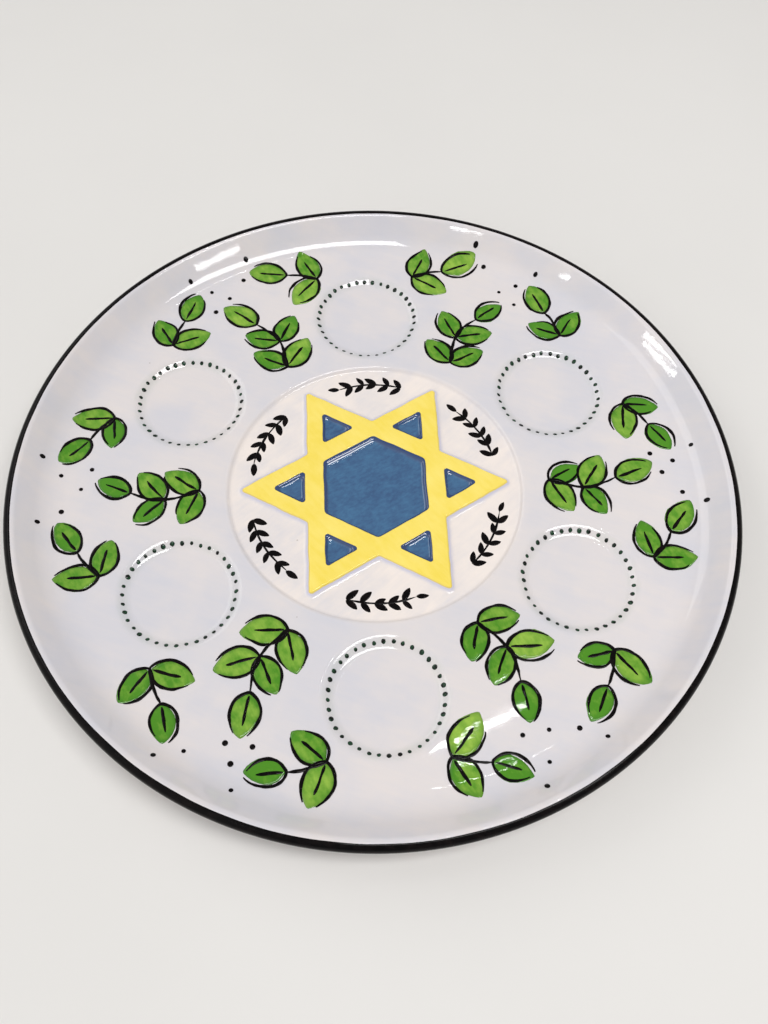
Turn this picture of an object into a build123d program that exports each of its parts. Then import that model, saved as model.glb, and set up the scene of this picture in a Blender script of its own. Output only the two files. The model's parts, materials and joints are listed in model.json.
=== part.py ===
from build123d import *
import os
from math import atan2, cos, degrees, radians, sin, sqrt, tan

# A round seder plate of glazed earthenware: a flat floor with an upturned rim,
# six shallow wells in a ring, and a raised six-pointed star in a round recess.
# Millimetres, +Z up, origin on the table under the middle of the foot ring.
# The sizes run from the star outwards, so the plate's diameter is their sum.

# Raised star
STAR_RADIUS = 56.5  # middle of the plate to the top of a star point
STAR_HEIGHT = 1.8  # star top above the recess floor
STAR_FLARE = 1.8  # how far the star's sides spread out from top to base
STAR_POINT_ROUND = 0.6
STAR_EDGE_ROUND = 0.4
BAR_WIDTH = 6.2  # star edge to hexagon window, and to the sides of a point window
CROSSBAR_WIDTH = 8.0  # hexagon window to point window
WINDOW_FLARE = 0.8  # how far a window narrows from top to bottom
HEXAGON_CORNER_ROUND = 2.2
TRIANGLE_CORNER_ROUND = 1.0
PANEL_THICKNESS = 0.7  # blue enamel in the windows

# Round recess that holds the star
RECESS_MARGIN = 6.5  # star point to the recess edge
RECESS_DEPTH = 1.6
RECESS_WALL_WIDTH = 1.5
RECESS_EDGE_ROUND = 1.0

# Wells
WELL_COUNT = 6
WELL_RADIUS = 24.5
WELL_DEPTH = 2.5
WELL_WALL_WIDTH = 3.8
WELL_EDGE_ROUND = 2.5
WELL_GAP = 6.0  # recess edge to well
WELL_MARGIN = 12.0  # well to the start of the rim's curve

# Rim, body and foot
RIM_CURVE_RADIUS = 16.5
RIM_ANGLE = 48.0  # slope of the rim's wall, in degrees
RIM_RISE = 12.0  # plate floor to the top of the lip
BODY_THICKNESS = 6.0
FOOT_HEIGHT = 5.0
FOOT_WIDTH = 5.0
FOOT_FLARE = 1.5  # how far each side of the foot spreads towards the body
FOOT_INSET = 30.0  # start of the rim's curve to the foot's outer edge
FOOT_EDGE_ROUND = 1.2

# Black enamel on the lip, as angles round the lip's own centre
BAND_THICKNESS = 0.4
BAND_TOP_ANGLE = 85.0  # just outside the top of the lip, which is at 90

# Enamel dots on the wall of each well
DOT_COUNT = 36
DOT_RADIUS = 0.85
DOT_HEIGHT = 0.25
DOT_CLEARANCE = 0.01  # enamel dot to the curved wall under it, at the nearest

# Places worked out from the sizes above
CUT_PAST = 1.0  # how far a cutter runs past the surface that it cuts
RECESS_RADIUS = STAR_RADIUS + RECESS_MARGIN
WELL_PITCH_RADIUS = RECESS_RADIUS + WELL_GAP + WELL_RADIUS
FLOOR_RADIUS = WELL_PITCH_RADIUS + WELL_RADIUS + WELL_MARGIN
FLOOR_Z = FOOT_HEIGHT + BODY_THICKNESS
RECESS_Z = FLOOR_Z - RECESS_DEPTH
WELL_Z = FLOOR_Z - WELL_DEPTH
LIP_RADIUS = BODY_THICKNESS / 2
RIM_SLOPE = radians(RIM_ANGLE)
RIM_CURVE_LENGTH = RIM_CURVE_RADIUS * tan(RIM_SLOPE / 2)
WALL_RISE = RIM_RISE - LIP_RADIUS + LIP_RADIUS * cos(RIM_SLOPE)
LIP_CENTRE_R = FLOOR_RADIUS + RIM_CURVE_LENGTH + WALL_RISE / tan(RIM_SLOPE) + LIP_RADIUS * sin(RIM_SLOPE)
LIP_CENTRE_Z = FLOOR_Z + RIM_RISE - LIP_RADIUS
PLATE_RADIUS = LIP_CENTRE_R + LIP_RADIUS
FOOT_OUTER_RADIUS = FLOOR_RADIUS - FOOT_INSET
FOOT_INNER_RADIUS = FOOT_OUTER_RADIUS - FOOT_WIDTH
HEXAGON_APOTHEM = STAR_RADIUS / 2 - BAR_WIDTH


def polar(radius, angle):
    """The point at this radius and angle, in degrees, as x and y."""
    return radius * cos(radians(angle)), radius * sin(radians(angle))


def lip_point(angle, radius=LIP_RADIUS):
    """A point round the lip's centre, as plate radius and height."""
    across, up = polar(radius, angle)
    return LIP_CENTRE_R + across, LIP_CENTRE_Z + up


def rim_curve_point(radius):
    """Where the rim's curve of this radius runs into its straight wall."""
    curve_centre_z = FLOOR_Z + RIM_CURVE_RADIUS
    return FLOOR_RADIUS + radius * sin(RIM_SLOPE), curve_centre_z - radius * cos(RIM_SLOPE)


def revolved(*lines):
    """The solid that a closed outline of radius and height sweeps round Z."""
    section = make_face([Plane.XZ * line for line in lines])
    return revolve(section, Axis.Z)


def band_section():
    """Outline of the black band: a thin crescent round the outside of the lip."""
    low_angle = RIM_ANGLE - 90
    sweep = BAND_TOP_ANGLE - low_angle
    inner_radius = LIP_RADIUS - BAND_THICKNESS
    lip_centre = (LIP_CENTRE_R, LIP_CENTRE_Z)
    return [
        CenterArc(lip_centre, LIP_RADIUS, low_angle, sweep),
        Line(lip_point(BAND_TOP_ANGLE), lip_point(BAND_TOP_ANGLE, inner_radius)),
        CenterArc(lip_centre, inner_radius, low_angle, sweep),
        Line(lip_point(low_angle, inner_radius), lip_point(low_angle)),
    ]


def rim_band():
    """Black enamel round the outside of the lip."""
    return revolved(*band_section())


def round_recess_cutter(top_radius, wall_width, depth, edge_round):
    """A shallow dish to cut from the floor, with a sloped wall and a rounded bottom edge."""
    over = CUT_PAST / depth
    cutter = revolved(
        Polyline(
            (0, FLOOR_Z - depth),
            (top_radius - wall_width, FLOOR_Z - depth),
            (top_radius + wall_width * over, FLOOR_Z + CUT_PAST),
            (0, FLOOR_Z + CUT_PAST),
            close=True,
        )
    )
    bottom_edge = cutter.edges().filter_by(GeomType.CIRCLE).sort_by(Axis.Z)[0]
    return fillet(bottom_edge, edge_round)


def floor_edge(body, radius):
    """The round edges of this radius that a recess leaves in the plate's floor."""
    return [
        edge
        for edge in body.edges().filter_by(GeomType.CIRCLE)
        if abs(edge.radius - radius) < 1e-3 and abs(edge.arc_center.Z - FLOOR_Z) < 1e-3
    ]


def well_places():
    """One place in the middle of each well, at the height of the table."""
    return PolarLocations(WELL_PITCH_RADIUS, WELL_COUNT, start_angle=90)


def plate_blank():
    """The turned plate before its wells: floor, rim, lip and foot ring."""
    under_radius = RIM_CURVE_RADIUS + BODY_THICKNESS
    top = [
        Line((0, FLOOR_Z), (FLOOR_RADIUS, FLOOR_Z)),
        CenterArc((FLOOR_RADIUS, FLOOR_Z + RIM_CURVE_RADIUS), RIM_CURVE_RADIUS, -90, RIM_ANGLE),
        Line(rim_curve_point(RIM_CURVE_RADIUS), lip_point(90 + RIM_ANGLE)),
    ]
    lip = CenterArc((LIP_CENTRE_R, LIP_CENTRE_Z), LIP_RADIUS, RIM_ANGLE - 90, 180)
    under = [
        Line(lip_point(RIM_ANGLE - 90), rim_curve_point(under_radius)),
        CenterArc((FLOOR_RADIUS, FLOOR_Z + RIM_CURVE_RADIUS), under_radius, -90, RIM_ANGLE),
        Polyline(
            (FLOOR_RADIUS, FOOT_HEIGHT),
            (FOOT_OUTER_RADIUS + FOOT_FLARE, FOOT_HEIGHT),
            (FOOT_OUTER_RADIUS, 0),
            (FOOT_INNER_RADIUS, 0),
            (FOOT_INNER_RADIUS - FOOT_FLARE, FOOT_HEIGHT),
            (0, FOOT_HEIGHT),
            (0, FLOOR_Z),
        ),
    ]
    blank = revolved(*top, lip, *under)
    foot_edges = [
        edge
        for edge in blank.edges().filter_by(GeomType.CIRCLE)
        if edge.arc_center.Z < FOOT_HEIGHT + 1e-3 and edge.radius < FOOT_OUTER_RADIUS + FOOT_FLARE + 1e-3
    ]
    return fillet(foot_edges, FOOT_EDGE_ROUND)


def plate_body():
    """The earthenware body, cut for the star's recess, the wells and the black band."""
    body = plate_blank()
    body -= round_recess_cutter(RECESS_RADIUS, RECESS_WALL_WIDTH, RECESS_DEPTH, RECESS_EDGE_ROUND)
    well_cutter = round_recess_cutter(WELL_RADIUS, WELL_WALL_WIDTH, WELL_DEPTH, WELL_EDGE_ROUND)
    for place in well_places():
        body -= place * well_cutter
    body = fillet(floor_edge(body, RECESS_RADIUS), RECESS_EDGE_ROUND)
    body = fillet(floor_edge(body, WELL_RADIUS), WELL_EDGE_ROUND)
    return body - rim_band()


def star_outline(tip_radius, z):
    """A six-pointed star at this height, with a tip on +X."""
    notch_radius = tip_radius / sqrt(3)
    corners = [polar(notch_radius if k % 2 else tip_radius, 30 * k) for k in range(12)]
    return Pos(0, 0, z) * Polygon(*corners, align=None)


def hexagon_outline(inset, z):
    """The hexagon window at this height, drawn in by the inset."""
    corner_radius = (HEXAGON_APOTHEM - inset) / cos(radians(30))
    corners = [polar(corner_radius, 30 + 60 * k) for k in range(6)]
    return Pos(0, 0, z) * Polygon(*corners, align=None)


def point_outline(inset, z):
    """The window of the star point on +X at this height, drawn in by the inset."""
    apex_x = STAR_RADIUS - 2 * BAR_WIDTH - 2 * inset
    base_x = HEXAGON_APOTHEM + CROSSBAR_WIDTH + inset
    half_base = (apex_x - base_x) * tan(radians(30))
    corners = [(apex_x, 0), (base_x, half_base), (base_x, -half_base)]
    return Pos(0, 0, z) * Polygon(*corners, align=None)


def window_form(outline, corner_round):
    """The tapered hole of one window, running past the star's top and base."""
    low_z = RECESS_Z - CUT_PAST
    high_z = RECESS_Z + STAR_HEIGHT + CUT_PAST
    slope = WINDOW_FLARE / STAR_HEIGHT
    low_inset = WINDOW_FLARE + slope * CUT_PAST
    high_inset = -slope * CUT_PAST
    form = loft([outline(low_inset, low_z), outline(high_inset, high_z)], ruled=True)
    sides = [edge for edge in form.edges() if low_z + 1e-3 < edge.center().Z < high_z - 1e-3]
    return fillet(sides, corner_round)


def hexagon_form():
    """The hole of the hexagon window."""
    return window_form(hexagon_outline, HEXAGON_CORNER_ROUND)


def point_forms():
    """The holes of the six windows in the star's points."""
    form = window_form(point_outline, TRIANGLE_CORNER_ROUND)
    return [Rot(0, 0, 60 * k) * form for k in range(6)]


def star_relief():
    """The raised star: flat yellow bars with spreading sides and seven windows."""
    top_z = RECESS_Z + STAR_HEIGHT
    base = star_outline(STAR_RADIUS + 2 * STAR_FLARE, RECESS_Z)
    star = loft([base, star_outline(STAR_RADIUS, top_z)], ruled=True)
    point_edges = star.edges().filter_by(lambda e: RECESS_Z + 1e-3 < e.center().Z < top_z - 1e-3)
    tips = sorted(point_edges, key=lambda e: -Vector(e.center().X, e.center().Y).length)[:6]
    star = fillet(tips, STAR_POINT_ROUND)
    for form in [hexagon_form(), *point_forms()]:
        star -= form
    top_edges = star.edges().filter_by(lambda e: abs(e.center().Z - top_z) < 1e-3)
    return fillet(top_edges, STAR_EDGE_ROUND)


def enamel_panel(form):
    """Blue enamel that fills the bottom of one window."""
    slab = Pos(0, 0, RECESS_Z) * Cylinder(
        STAR_RADIUS, PANEL_THICKNESS, align=(Align.CENTER, Align.CENTER, Align.MIN)
    )
    return form & slab


def enamel_dot():
    """One dot: a low round cap with its flat base on the XY plane."""
    section = make_face(
        [
            Plane.XZ * Line((0, 0), (DOT_RADIUS, 0)),
            Plane.XZ * RadiusArc((DOT_RADIUS, 0), (0, DOT_HEIGHT), -dot_sphere_radius()),
            Plane.XZ * Line((0, DOT_HEIGHT), (0, 0)),
        ]
    )
    return revolve(section, Axis.Z)


def dot_sphere_radius():
    """Radius of the sphere that a dot's cap is cut from."""
    return (DOT_RADIUS**2 + DOT_HEIGHT**2) / (2 * DOT_HEIGHT)


def well_dots(place):
    """The ring of dots half way up the wall of the well at this place."""
    ring_radius = WELL_RADIUS - WELL_WALL_WIDTH / 2
    wall_slope = atan2(WELL_DEPTH, WELL_WALL_WIDTH)
    wall_bow = DOT_RADIUS**2 * sin(wall_slope) / (2 * ring_radius)
    lift = wall_bow + DOT_CLEARANCE
    seat = Pos(ring_radius, 0, FLOOR_Z - WELL_DEPTH / 2) * Rot(0, -degrees(wall_slope), 0) * Pos(0, 0, lift)
    dot = seat * enamel_dot()
    return Compound([place * Rot(0, 0, 360 * k / DOT_COUNT) * dot for k in range(DOT_COUNT)])


def main():
    parts = {
        "plate_body": plate_body(),
        "rim_band": rim_band(),
        "star_relief": star_relief(),
        "hexagon_panel": enamel_panel(hexagon_form()),
    }
    for number, form in enumerate(point_forms(), start=1):
        parts[f"triangle_panel_{number}"] = enamel_panel(form)
    for number, place in enumerate(well_places(), start=1):
        parts[f"well_dots_{number}"] = well_dots(place)
    os.makedirs("parts", exist_ok=True)
    for name, part in parts.items():
        export_step(part, f"parts/{name}.step")
    print("plate diameter", round(2 * PLATE_RADIUS, 2), "height", round(FLOOR_Z + RIM_RISE, 2))


main()
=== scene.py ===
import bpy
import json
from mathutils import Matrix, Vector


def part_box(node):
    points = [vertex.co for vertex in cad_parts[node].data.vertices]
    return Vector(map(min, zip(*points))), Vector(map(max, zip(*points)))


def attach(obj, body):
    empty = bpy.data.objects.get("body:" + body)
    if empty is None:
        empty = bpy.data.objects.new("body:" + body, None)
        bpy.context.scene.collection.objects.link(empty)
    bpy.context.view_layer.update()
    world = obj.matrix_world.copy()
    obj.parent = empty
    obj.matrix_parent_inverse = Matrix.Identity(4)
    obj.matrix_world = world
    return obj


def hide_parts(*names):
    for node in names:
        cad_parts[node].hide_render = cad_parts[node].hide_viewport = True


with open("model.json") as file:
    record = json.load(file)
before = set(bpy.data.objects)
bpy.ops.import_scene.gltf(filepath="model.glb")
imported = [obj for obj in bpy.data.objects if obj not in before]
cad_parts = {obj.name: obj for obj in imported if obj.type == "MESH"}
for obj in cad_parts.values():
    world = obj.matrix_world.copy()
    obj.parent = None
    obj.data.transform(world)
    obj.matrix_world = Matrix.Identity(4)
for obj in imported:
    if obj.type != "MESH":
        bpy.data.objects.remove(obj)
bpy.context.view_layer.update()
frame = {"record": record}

import json
from math import atan2, cos, pi, radians, sin, sqrt, tan, tau

import bmesh
import bpy
from bpy.props import FloatProperty, FloatVectorProperty, IntProperty, PointerProperty
from mathutils import Matrix, Vector, noise

bl_info = {
    "name": "Seder Plate",
    "version": (1, 0, 0),
    "blender": (4, 5, 0),
    "location": "3D View > Sidebar > Seder Plate",
    "description": "Glazes and paints a cast seder plate round its packed solids",
    "category": "Add Mesh",
}

MM = 0.001

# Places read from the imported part
MOUNTS = {mount["name"]: Vector(mount["pos_m"]) for mount in frame["record"]["mounts"]}
WELL_SEATS = [place for name, place in sorted(MOUNTS.items()) if name.startswith("well_floor_")]
WELL_COUNT = len(WELL_SEATS)
PITCH_RADIUS = WELL_SEATS[0].to_2d().length
FIRST_WELL_ANGLE = atan2(WELL_SEATS[0].y, WELL_SEATS[0].x)
WELL_FLOOR = WELL_SEATS[0].z
FOOT_MIDDLE = MOUNTS["foot_ring_face"].x
PLATE_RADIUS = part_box("rim_band")[1][0]
RIM_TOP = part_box("plate_body")[1][2]
RECESS_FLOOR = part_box("star_relief")[0][2]
STAR_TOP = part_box("star_relief")[1][2]

# Points nearer than this are one point
WELD = 0.001 * MM


def linear(red, green, blue):
    """A colour written as eight-bit screen values, as the shader's own linear values."""
    def curve(value):
        share = value / 255
        return share / 12.92 if share <= 0.04045 else ((share + 0.055) / 1.055) ** 2.4

    return curve(red), curve(green), curve(blue), 1.0


def length(name, description, default):
    """A size in metres that a user can change."""
    return FloatProperty(name=name, description=description, default=default, unit="LENGTH", precision=5)


def angle(name, description, degrees):
    """An angle that a user can change, given in degrees."""
    return FloatProperty(name=name, description=description, default=radians(degrees), subtype="ANGLE")


def count(name, description, default):
    """A whole number that a user can change."""
    return IntProperty(name=name, description=description, default=default, min=1)


def strength(name, description, default):
    """A plain strength that a user can change."""
    return FloatProperty(name=name, description=description, default=default)


def lamp_power(name, description, watts):
    """A lamp's power that a user can change."""
    return FloatProperty(name=name, description=description, default=watts, unit="POWER")


def colour(name, description, *screen):
    """A colour that a user can change, given as eight-bit screen values."""
    return FloatVectorProperty(
        name=name, description=description, default=linear(*screen), subtype="COLOR", size=4, min=0, max=1
    )


class BodySizes(bpy.types.PropertyGroup):
    """Sizes of the earthenware body."""

    floor_height: length("Floor height", "Table to the plate's floor", 11 * MM)
    thickness: length("Thickness", "Thickness of the body and of its rounded lip", 6 * MM)
    rim_curve: length("Rim curve", "Radius of the curve from floor to rim", 16.5 * MM)
    rim_angle: angle("Rim angle", "Slope of the rim's wall", 48)
    well_radius: length("Well radius", "Radius of a well at the plate's floor", 24.5 * MM)
    well_wall: length("Well wall", "Width of a well's sloped wall", 3.8 * MM)
    well_round: length("Well rounding", "Radius at the top and bottom of a well's wall", 6 * MM)
    recess_radius: length("Recess radius", "Radius of the star's round recess", 63.5 * MM)
    recess_wall: length("Recess wall", "Width of the recess's sloped edge", 1.5 * MM)
    recess_round: length("Recess rounding", "Radius at the top and bottom of the recess edge", 1.9 * MM)
    foot_height: length("Foot height", "Table to the underside of the body", 5 * MM)
    foot_width: length("Foot width", "Width of the foot ring where it stands", 5 * MM)
    foot_flare: length("Foot flare", "How far each side of the foot spreads towards the body", 1.5 * MM)
    foot_round: length("Foot rounding", "Radius of the foot ring's edges", 1.2 * MM)
    lip_margin: length("Lip margin", "Wall kept straight below the lip's round edge", 0.3 * MM)
    seam: length("Seam", "Flat strip round each recess, where it joins the floor", 2.2 * MM)
    rim_segments: count("Rim segments", "Steps round the rim", 288)
    well_segments: count("Well segments", "Steps round each well", 120)
    round_steps: count("Rounding steps", "Steps in each rounded corner", 10)


class StarSizes(bpy.types.PropertyGroup):
    """Sizes of the raised star and the enamel in its windows."""

    radius: length("Radius", "Middle of the plate to the top of a star point", 56.5 * MM)
    flare: length("Flare", "How far the star's sides spread out from top to base", 3.2 * MM)
    bar: length("Bar", "Width of the star's bars", 6.2 * MM)
    crossbar: length("Crossbar", "Hexagon window to point window", 8 * MM)
    window_flare: length("Window flare", "How far a window narrows from top to bottom", 0.8 * MM)
    tip_round: length("Tip rounding", "Radius of the star's points", 0.45 * MM)
    notch_round: length("Notch rounding", "Radius of the star's inner corners", 1.6 * MM)
    edge_round: length("Edge rounding", "Radius of the edge round each window", 0.2 * MM)
    hexagon_round: length("Hexagon rounding", "Radius of the hexagon window's corners", 2.4 * MM)
    triangle_round: length("Triangle rounding", "Radius of the point windows' corners", 1.1 * MM)
    pool_depth: length("Pool depth", "Star top to the enamel in a window", 1.1 * MM)
    pool_lip: length("Pool lip", "Star top to the enamel's upper edge on a window's wall", 0.05 * MM)
    pool_shelf: length("Pool shelf", "Level edge of the enamel before it falls away", 0.2 * MM)
    pool_curve: length("Pool curve", "Width over which the enamel falls to its floor", 2.2 * MM)
    pool_drift: length("Pool drift", "How far a pool's floor lies to the front", 1.4 * MM)
    pool_fill: length("Pool fill", "How much rounder a small pool's corners are on its floor", 1.8 * MM)
    pool_gap: length("Pool gap", "Enamel to the window's wall", 0.03 * MM)
    pool_waves: length("Pool waves", "Unevenness of the brushed enamel", 0.06 * MM)
    edge_stray: length("Edge stray", "How far the star's brushed edges stray from straight lines", 0.3 * MM)


class PaintSizes(bpy.types.PropertyGroup):
    """Sizes of the painted ornament."""

    film: length("Film", "Thickness of brushed paint", 0.12 * MM)
    band_top: angle("Band top", "Where the black band starts on the lip, with the lip's top at 90", 95)
    band_wobble: angle("Band wobble", "How far the band's brushed edge strays", 5)
    band_lean: angle("Band lean", "How much further the band reaches over the lip at the back", 10)
    band_bearing: angle("Band bearing", "Where round the plate the band reaches furthest", 100)
    dot_count: count("Dots", "Dots round each well", 36)
    dot_radius: length("Dot radius", "Radius of a dot", 0.95 * MM)
    dot_height: length("Dot height", "Height of a dot", 0.25 * MM)
    dot_stray: length("Dot stray", "How far a dot strays from its place", 0.24 * MM)
    leaf_length: length("Leaf length", "Length of a painted leaf", 18 * MM)
    leaf_width: length("Leaf width", "Width of a painted leaf", 11.5 * MM)
    leaf_spacing: length("Leaf spacing", "Step between pairs of leaves along a stem", 13 * MM)
    leaf_angle: angle("Leaf angle", "Angle between a leaf and its stem", 52)
    leaf_stray: length("Leaf stray", "How far the paint of a leaf sprig strays", 0.6 * MM)
    line_width: length("Line width", "Width of a brushed line", 1.25 * MM)
    berry_radius: length("Berry radius", "Radius of the dots past the tip of a sprig", 1 * MM)
    sprig_start: length("Sprig start", "Plate's middle to a sprig between two wells", 75 * MM)
    sprig_length: length("Sprig length", "Length of the stem of such a sprig", 29 * MM)
    sprig_bend: angle("Sprig bend", "How far round the plate such a stem bows", 2.6)
    rim_sprig_radius: length("Rim sprig radius", "Plate's middle to a sprig at the rim", 124.5 * MM)
    rim_sprig_length: length("Rim sprig length", "Length of the stem of a sprig at the rim", 15 * MM)
    rim_sprig_lean: angle("Rim sprig lean", "Turn of such a stem from straight outwards", 68)
    rim_sprig_curl: angle("Rim sprig curl", "How far such a stem turns along its length", 14)
    twig_radius: length("Twig radius", "Plate's middle to the twigs round the star", 53.5 * MM)
    twig_bow: length("Twig bow", "How far a twig bows outwards", 0.9 * MM)
    twig_reach: angle("Twig reach", "Middle of a twig to its ends, round the plate", 15)
    twig_leaf_length: length("Twig leaf length", "Length of a leaf on the twigs round the star", 6 * MM)
    twig_leaf_width: length("Twig leaf width", "Width of a leaf on the twigs round the star", 2.7 * MM)
    twig_leaf_angle: angle("Twig leaf angle", "Angle between a twig and its leaves", 40)
    twig_spacing: length("Twig spacing", "Step between pairs of leaves along a twig", 5.2 * MM)
    twig_line: length("Twig line", "Width of a twig's brushed line", 0.95 * MM)
    twig_stray: length("Twig stray", "How far the paint of a twig strays", 0.25 * MM)


class GlazeColours(bpy.types.PropertyGroup):
    """Colours of the glazes and paints."""

    white_cool: colour("Cool white", "Bluish patches of the white wash", 209, 208, 215)
    white_warm: colour("Warm white", "Creamy patches of the white wash", 229, 220, 215)
    cream: colour("Cream", "White wash inside the star's recess", 239, 229, 222)
    stain: colour("Stain", "Green that ran from the dots into the wash", 150, 178, 150)
    speck: colour("Speck", "Tiny pits in the glaze", 120, 104, 92)
    clay: colour("Bare clay", "Unglazed foot ring", 222, 208, 188)
    yellow: colour("Yellow", "Star", 243, 217, 84)
    yellow_thin: colour("Thin yellow", "Star where the brush ran dry", 250, 228, 118)
    yellow_edge: colour("Yellow edge", "Brownish line where the star's yellow ends", 206, 176, 104)
    # Painted shade: lavender grey for the star's sides, standing in for their shade, partly a bluish tint
    skirt_shade: colour("Skirt", "White wash on the star's sides", 205, 204, 222)
    blue: colour("Blue", "Enamel in the star's windows", 63, 114, 154)
    # Darker blue, used towards the enamel's upper edge
    blue_deep: colour("Deep blue", "Enamel where it pools", 28, 54, 104)
    black: colour("Black", "Lip band and brushed lines", 5, 4, 5)
    brown_black: colour("Thin black", "Black where it thins", 24, 18, 18)
    green: colour("Green", "Leaves", 74, 138, 24)
    green_pale: colour("Pale green", "Leaves where the paint thins", 152, 190, 72)
    green_deep: colour("Deep green", "Leaves where the paint pools", 40, 98, 22)
    dot: colour("Dot green", "Dots round the wells", 30, 66, 44)
    floor: colour("Studio floor", "Floor under the plate", 226, 224, 221)


class StudioSizes(bpy.types.PropertyGroup):
    """The camera and lights."""

    focal_length: FloatProperty(
        name="Focal length", description="Lens of the camera", default=33.92, unit="CAMERA"
    )
    distance: length("Distance", "Camera to the point that it looks at", 406.6 * MM)
    elevation: angle("Elevation", "Height of the camera over the plate's floor", 60.7)
    turn: angle("Turn", "Camera's place round the plate, from the front towards the left", 5.12)
    roll: angle("Roll", "Tilt of the camera about its own line of sight", 2.6)
    aside: length("Aside", "Point looked at, to the camera's right of the plate's middle", 4.18 * MM)
    nearer: length("Nearer", "Point looked at, in front of the plate's middle", 12.95 * MM)
    key_power: lamp_power("Key power", "Long softbox overhead, in front and on the right", 10.9)
    side_power: lamp_power("Side power", "Broad softbox on the left", 2.5)
    slit_radiance: strength("Slit radiance", "Brightness of the thin openings mirrored in the rim", 14)
    tube_power: lamp_power("Tube power", "Narrow light overhead, behind", 0.3)
    ambient: strength("Ambient", "Strength of the surrounding light", 0.42)
    glow: strength("Glow", "Added strength of the surrounding light, low on the left", 0.4)


class SederPlate(bpy.types.PropertyGroup):
    """Everything about the plate that can be changed."""

    body: PointerProperty(type=BodySizes)
    star: PointerProperty(type=StarSizes)
    paint: PointerProperty(type=PaintSizes)
    glaze: PointerProperty(type=GlazeColours)
    studio: PointerProperty(type=StudioSizes)


class Wiring:
    """Adds nodes to one tree and joins them."""

    def __init__(self, tree):
        self.tree = tree

    def node(self, kind, inputs=None, **options):
        """A new node with these options, its inputs given by name."""
        made = self.tree.nodes.new(kind)
        for option, value in options.items():
            setattr(made, option, value)
        for name, value in (inputs or {}).items():
            socket = next(s for s in made.inputs if s.enabled and s.name == name)
            self.feed(socket, value)
        return made

    def __call__(self, kind, inputs=None, **options):
        """A new node's first output."""
        made = self.node(kind, inputs, **options)
        return next(s for s in made.outputs if s.enabled)

    def feed(self, socket, value):
        """Join another node's output to this socket, or set its value."""
        if isinstance(value, bpy.types.NodeSocket):
            self.tree.links.new(value, socket)
        else:
            socket.default_value = value

    def math(self, operation, *values):
        """A sum on plain numbers."""
        made = self.tree.nodes.new("ShaderNodeMath")
        made.operation = operation
        for socket, value in zip(made.inputs, values):
            self.feed(socket, value)
        return made.outputs[0]

    def product(self, first, *others):
        """Several numbers multiplied."""
        for other in others:
            first = self.math("MULTIPLY", first, other)
        return first

    def weighted(self, start, *terms):
        """A start and several values, each times its weight, added up."""
        total = start
        for value, weight in terms:
            total = self.math("MULTIPLY_ADD", value, weight, total)
        return total

    def vector(self, operation, *values):
        """A sum on vectors."""
        made = self.tree.nodes.new("ShaderNodeVectorMath")
        made.operation = operation
        for socket, value in zip(made.inputs, values):
            self.feed(socket, value)
        return next(s for s in made.outputs if s.enabled)

    def scaled(self, vector, factor):
        """A vector times a number."""
        return self("ShaderNodeVectorMath", {"Vector": vector, "Scale": factor}, operation="SCALE")

    def parts(self, vector):
        """The x, y and z of a vector."""
        return self.node("ShaderNodeSeparateXYZ", {"Vector": vector}).outputs

    def joined(self, x, y, z):
        """A vector from its x, y and z."""
        return self("ShaderNodeCombineXYZ", {"X": x, "Y": y, "Z": z})

    def polar(self, radius, bearing, height):
        """A vector from its radius, bearing and height."""
        x = self.math("MULTIPLY", radius, self.math("COSINE", bearing))
        y = self.math("MULTIPLY", radius, self.math("SINE", bearing))
        return self.joined(x, y, height)

    def flat_length(self, x, y):
        """How far x and y reach together."""
        return self.vector("LENGTH", self.joined(x, y, 0.0))

    def range(self, value, low, high, to_low=0.0, to_high=1.0, **options):
        """A number moved from one range to another, and held inside it."""
        inputs = {"Value": value, "From Min": low, "From Max": high, "To Min": to_low, "To Max": to_high}
        return self("ShaderNodeMapRange", inputs, **options)

    def blend(self, factor, first, second):
        """Two colours mixed."""
        made = self.tree.nodes.new("ShaderNodeMix")
        made.data_type = "RGBA"
        sockets = [s for s in made.inputs if s.enabled]
        for socket, value in zip(sockets, (factor, first, second)):
            self.feed(socket, value)
        return next(s for s in made.outputs if s.enabled)

    def random(self, low, high, seed, kind="FLOAT"):
        """A random number or vector for each element."""
        return self("FunctionNodeRandomValue", {"Min": low, "Max": high, "Seed": seed}, data_type=kind)

    def together(self, *geometry):
        """Several geometries as one."""
        made = self.tree.nodes.new("GeometryNodeJoinGeometry")
        for part in geometry:
            self.tree.links.new(part, made.inputs[0])
        return made.outputs[0]

    def moved(self, geometry, position=None, offset=None):
        """Geometry with each point at a new position or shifted by an offset."""
        inputs = {"Geometry": geometry}
        if position is not None:
            inputs["Position"] = position
        if offset is not None:
            inputs["Offset"] = offset
        return self("GeometryNodeSetPosition", inputs)


def group(name, kind, inputs, outputs):
    """A new node group with these named sockets, its wiring, its inputs by name and its output node."""
    tree = bpy.data.node_groups.new(name, kind)
    for label, socket_type, default in inputs:
        socket = tree.interface.new_socket(label, in_out="INPUT", socket_type=socket_type)
        if default is not None:
            socket.default_value = default
    for label, socket_type in outputs:
        tree.interface.new_socket(label, in_out="OUTPUT", socket_type=socket_type)
    enter = tree.nodes.new("NodeGroupInput")
    leave = tree.nodes.new("NodeGroupOutput")
    return Wiring(tree), enter.outputs, leave.inputs


def placed(wiring, kind, tree, inputs):
    """The outputs of a node group put into another tree."""
    made = wiring.tree.nodes.new(kind)
    made.node_tree = tree
    for name, value in inputs.items():
        wiring.feed(made.inputs[name], value)
    return made.outputs


def shared(wiring, kind, makers, name, inputs):
    """The first output of a shared node group, which takes its maker's place when it is first asked for."""
    if not isinstance(makers[name], bpy.types.NodeTree):
        makers[name] = makers[name]()
    spaced = {label.replace("_", " "): value for label, value in inputs.items()}
    return placed(wiring, kind, makers[name], spaced)[0]


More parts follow.
